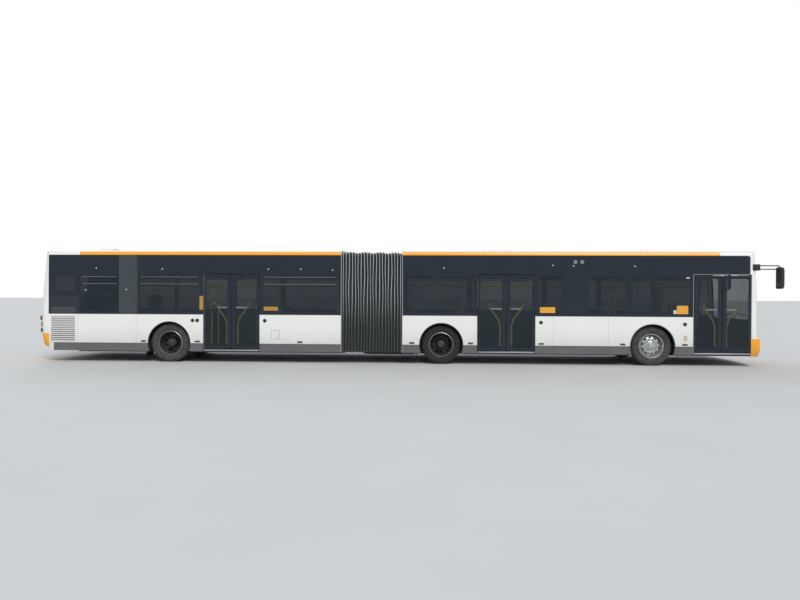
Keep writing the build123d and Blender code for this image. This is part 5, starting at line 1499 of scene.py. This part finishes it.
# Doors: a frame round each opening, light at the first door and rubber at the others
SURROUND_GAP, SURROUND_REACH, SURROUND_Z = 0.001, 0.012, (0.3, DOOR_TOP + 0.008)
for door, (front, rear) in DOORS.items():
    surround, y = Shape(), (-HALF - 0.0015, -HALF + 0.006)
    surround.box((front + SURROUND_GAP, front + SURROUND_REACH), y, SURROUND_Z)
    surround.box((rear - SURROUND_REACH, rear - SURROUND_GAP), y, SURROUND_Z)
    surround.box((rear - SURROUND_REACH, front + SURROUND_REACH), y,
                 (DOOR_TOP + SURROUND_GAP, DOOR_TOP + 0.01))
    piece(f"{door}_surround", surround, jamb_light if door == "door_1" else rubber, car_at(rear), smooth=0)

# Roof: a rubber seal and two hinges round each lid. Middle and half length of the lids.
LIDS = {"front": ((6.5025, 0.39), (2.5025, 0.39)), "rear": ((-2.9975, 0.39), (-7.8375, 0.207))}
LID_HALF, SEAL_FOOT = 0.33, 2.8
for end, lids in LIDS.items():
    seals, hinges = Shape(), Shape()
    for middle, half in lids:
        limits = ((middle - half, middle + half), (-LID_HALF, LID_HALF))
        outer, inner = (rounded(*limits, 0.06 + d, inset=-d) for d in (0.016, -0.004))
        layers = ((outer, SEAL_FOOT), (outer, 2.8165), (inner, 2.8185), (inner, SEAL_FOOT))
        rings = [[(x, y, z) for x, y in loop] for loop, z in layers]
        seals.strip(rings + rings[:1], caps=False)
        hinge_x = (middle + half - 0.006, middle + half + 0.04)
        for y in (-0.2, 0.2):
            hinges.box(hinge_x, (y - 0.045, y + 0.045), (SEAL_FOOT, SEAL_FOOT + 0.032))
    piece(f"{end}_lid_seals", seals, rubber, f"{end}_car", smooth=40)
    piece(f"{end}_lid_hinges", hinges, aluminium, f"{end}_car", bevel=0.005)

# Ceiling: ducts along both sides and rows of lights
DUCT = [(1.185, 2.235), (1.185, 2.66), (0.86, 2.7), (0.83, 2.66), (1.1, 2.26)]
LIGHT_PITCH, LIGHT_HALF, LIGHT_START = 1.24, 0.55, 0.85
LIGHT_Y, LIGHT_Z = (0.56, 0.7), (2.7, 2.738)
for end, x_front, x_rear in (("front", at(0.6), BELLOWS[1] + 0.02), ("rear", BELLOWS[0] - 0.02, at(17.1))):
    count = int((x_front - x_rear - 0.4) / LIGHT_PITCH)
    for word, side in SIDES.items():
        duct = Shape().strip([[(x, side * y, z) for y, z in DUCT] for x in (x_front, x_rear)])
        piece(f"{end}_{word}_duct", duct, ceiling_panel, f"{end}_car", bevel=0.012)
        tube = Shape().box((-LIGHT_HALF, LIGHT_HALF), [side * y for y in LIGHT_Y], LIGHT_Z)
        row_piece(f"{end}_{word}_ceiling_lights", tube, count, (x_front - LIGHT_START, 0, 0),
                  (-LIGHT_PITCH, 0, 0), white_dot, f"{end}_car")

# Camera: its place, and its turns from a level look along positive Y
EYE, YAW, PITCH_DOWN, ROLL = (0.5315, -15.97, 1.707), radians(-2.131), radians(-0.518), radians(0.235)
lens = bpy.data.cameras.new("camera")
lens.lens, lens.sensor_width, lens.clip_end = 27.0, 36.0, 500
camera = scene.camera = linked("camera", lens)
ahead = Vector((sin(YAW) * cos(PITCH_DOWN), cos(YAW) * cos(PITCH_DOWN), sin(PITCH_DOWN)))
right = Vector((cos(YAW), -sin(YAW), 0))
upward = right.cross(ahead)
axes = (right * cos(ROLL) + upward * sin(ROLL), upward * cos(ROLL) - right * sin(ROLL), -ahead)
camera.matrix_world = Matrix.Translation(EYE) @ Matrix(axes).transposed().to_4x4()

# Stage and light: the sky lights at part strength and is white where it is seen
SKY_LIGHT, GROUND_HALF = 0.62, 200
scene.view_settings.view_transform = "Standard"
world = scene.world = bpy.data.worlds.new("studio")
world.use_nodes = True
g = Graph(world.node_tree)
sky = world.node_tree.nodes["Background"]
seen = g.add("ShaderNodeLightPath", output="Is Camera Ray")
shown = seen.maths("MAXIMUM", seen.output("Is Transmission Ray"))
g.feed(sky.inputs["Color"], g.blend(seen, (0.86, 0.93, 1.0), (1.0, 1.0, 1.0)))
g.feed(sky.inputs["Strength"], SKY_LIGHT + shown * (1 - SKY_LIGHT))

ground = bpy.data.meshes.new("floor")
corners = [(x * GROUND_HALF, y * GROUND_HALF, 0) for x, y in ((-1, -1), (1, -1), (1, 1), (-1, 1))]
ground.from_pydata(corners, [], [(0, 1, 2, 3)])
linked("floor", ground)
pale = Finish("pale_floor")
g = pale.graph
pale.set(Base_Color=g.blend(g.noise(0.6, 5), (0.6, 0.6, 0.6), (0.54, 0.54, 0.54)), Roughness=0.85)
ground.materials.append(pale.material)


def sun(name, place, energy, width, colour):
    """A sun lamp that looks from a place to the origin; its width is in degrees."""
    light = bpy.data.lights.new(name, "SUN")
    light.energy, light.angle, light.color = energy, radians(width), colour
    made = linked(name, light)
    made.location = place
    made.rotation_mode = "QUATERNION"
    made.rotation_quaternion = (-Vector(place)).to_track_quat("-Z", "Y")


sun("sun", (6, -14, 16), 1.85, 24, (1.0, 0.97, 0.92))
sun("fill", (-8, 14, 12), 0.55, 40, (0.94, 0.97, 1.0))
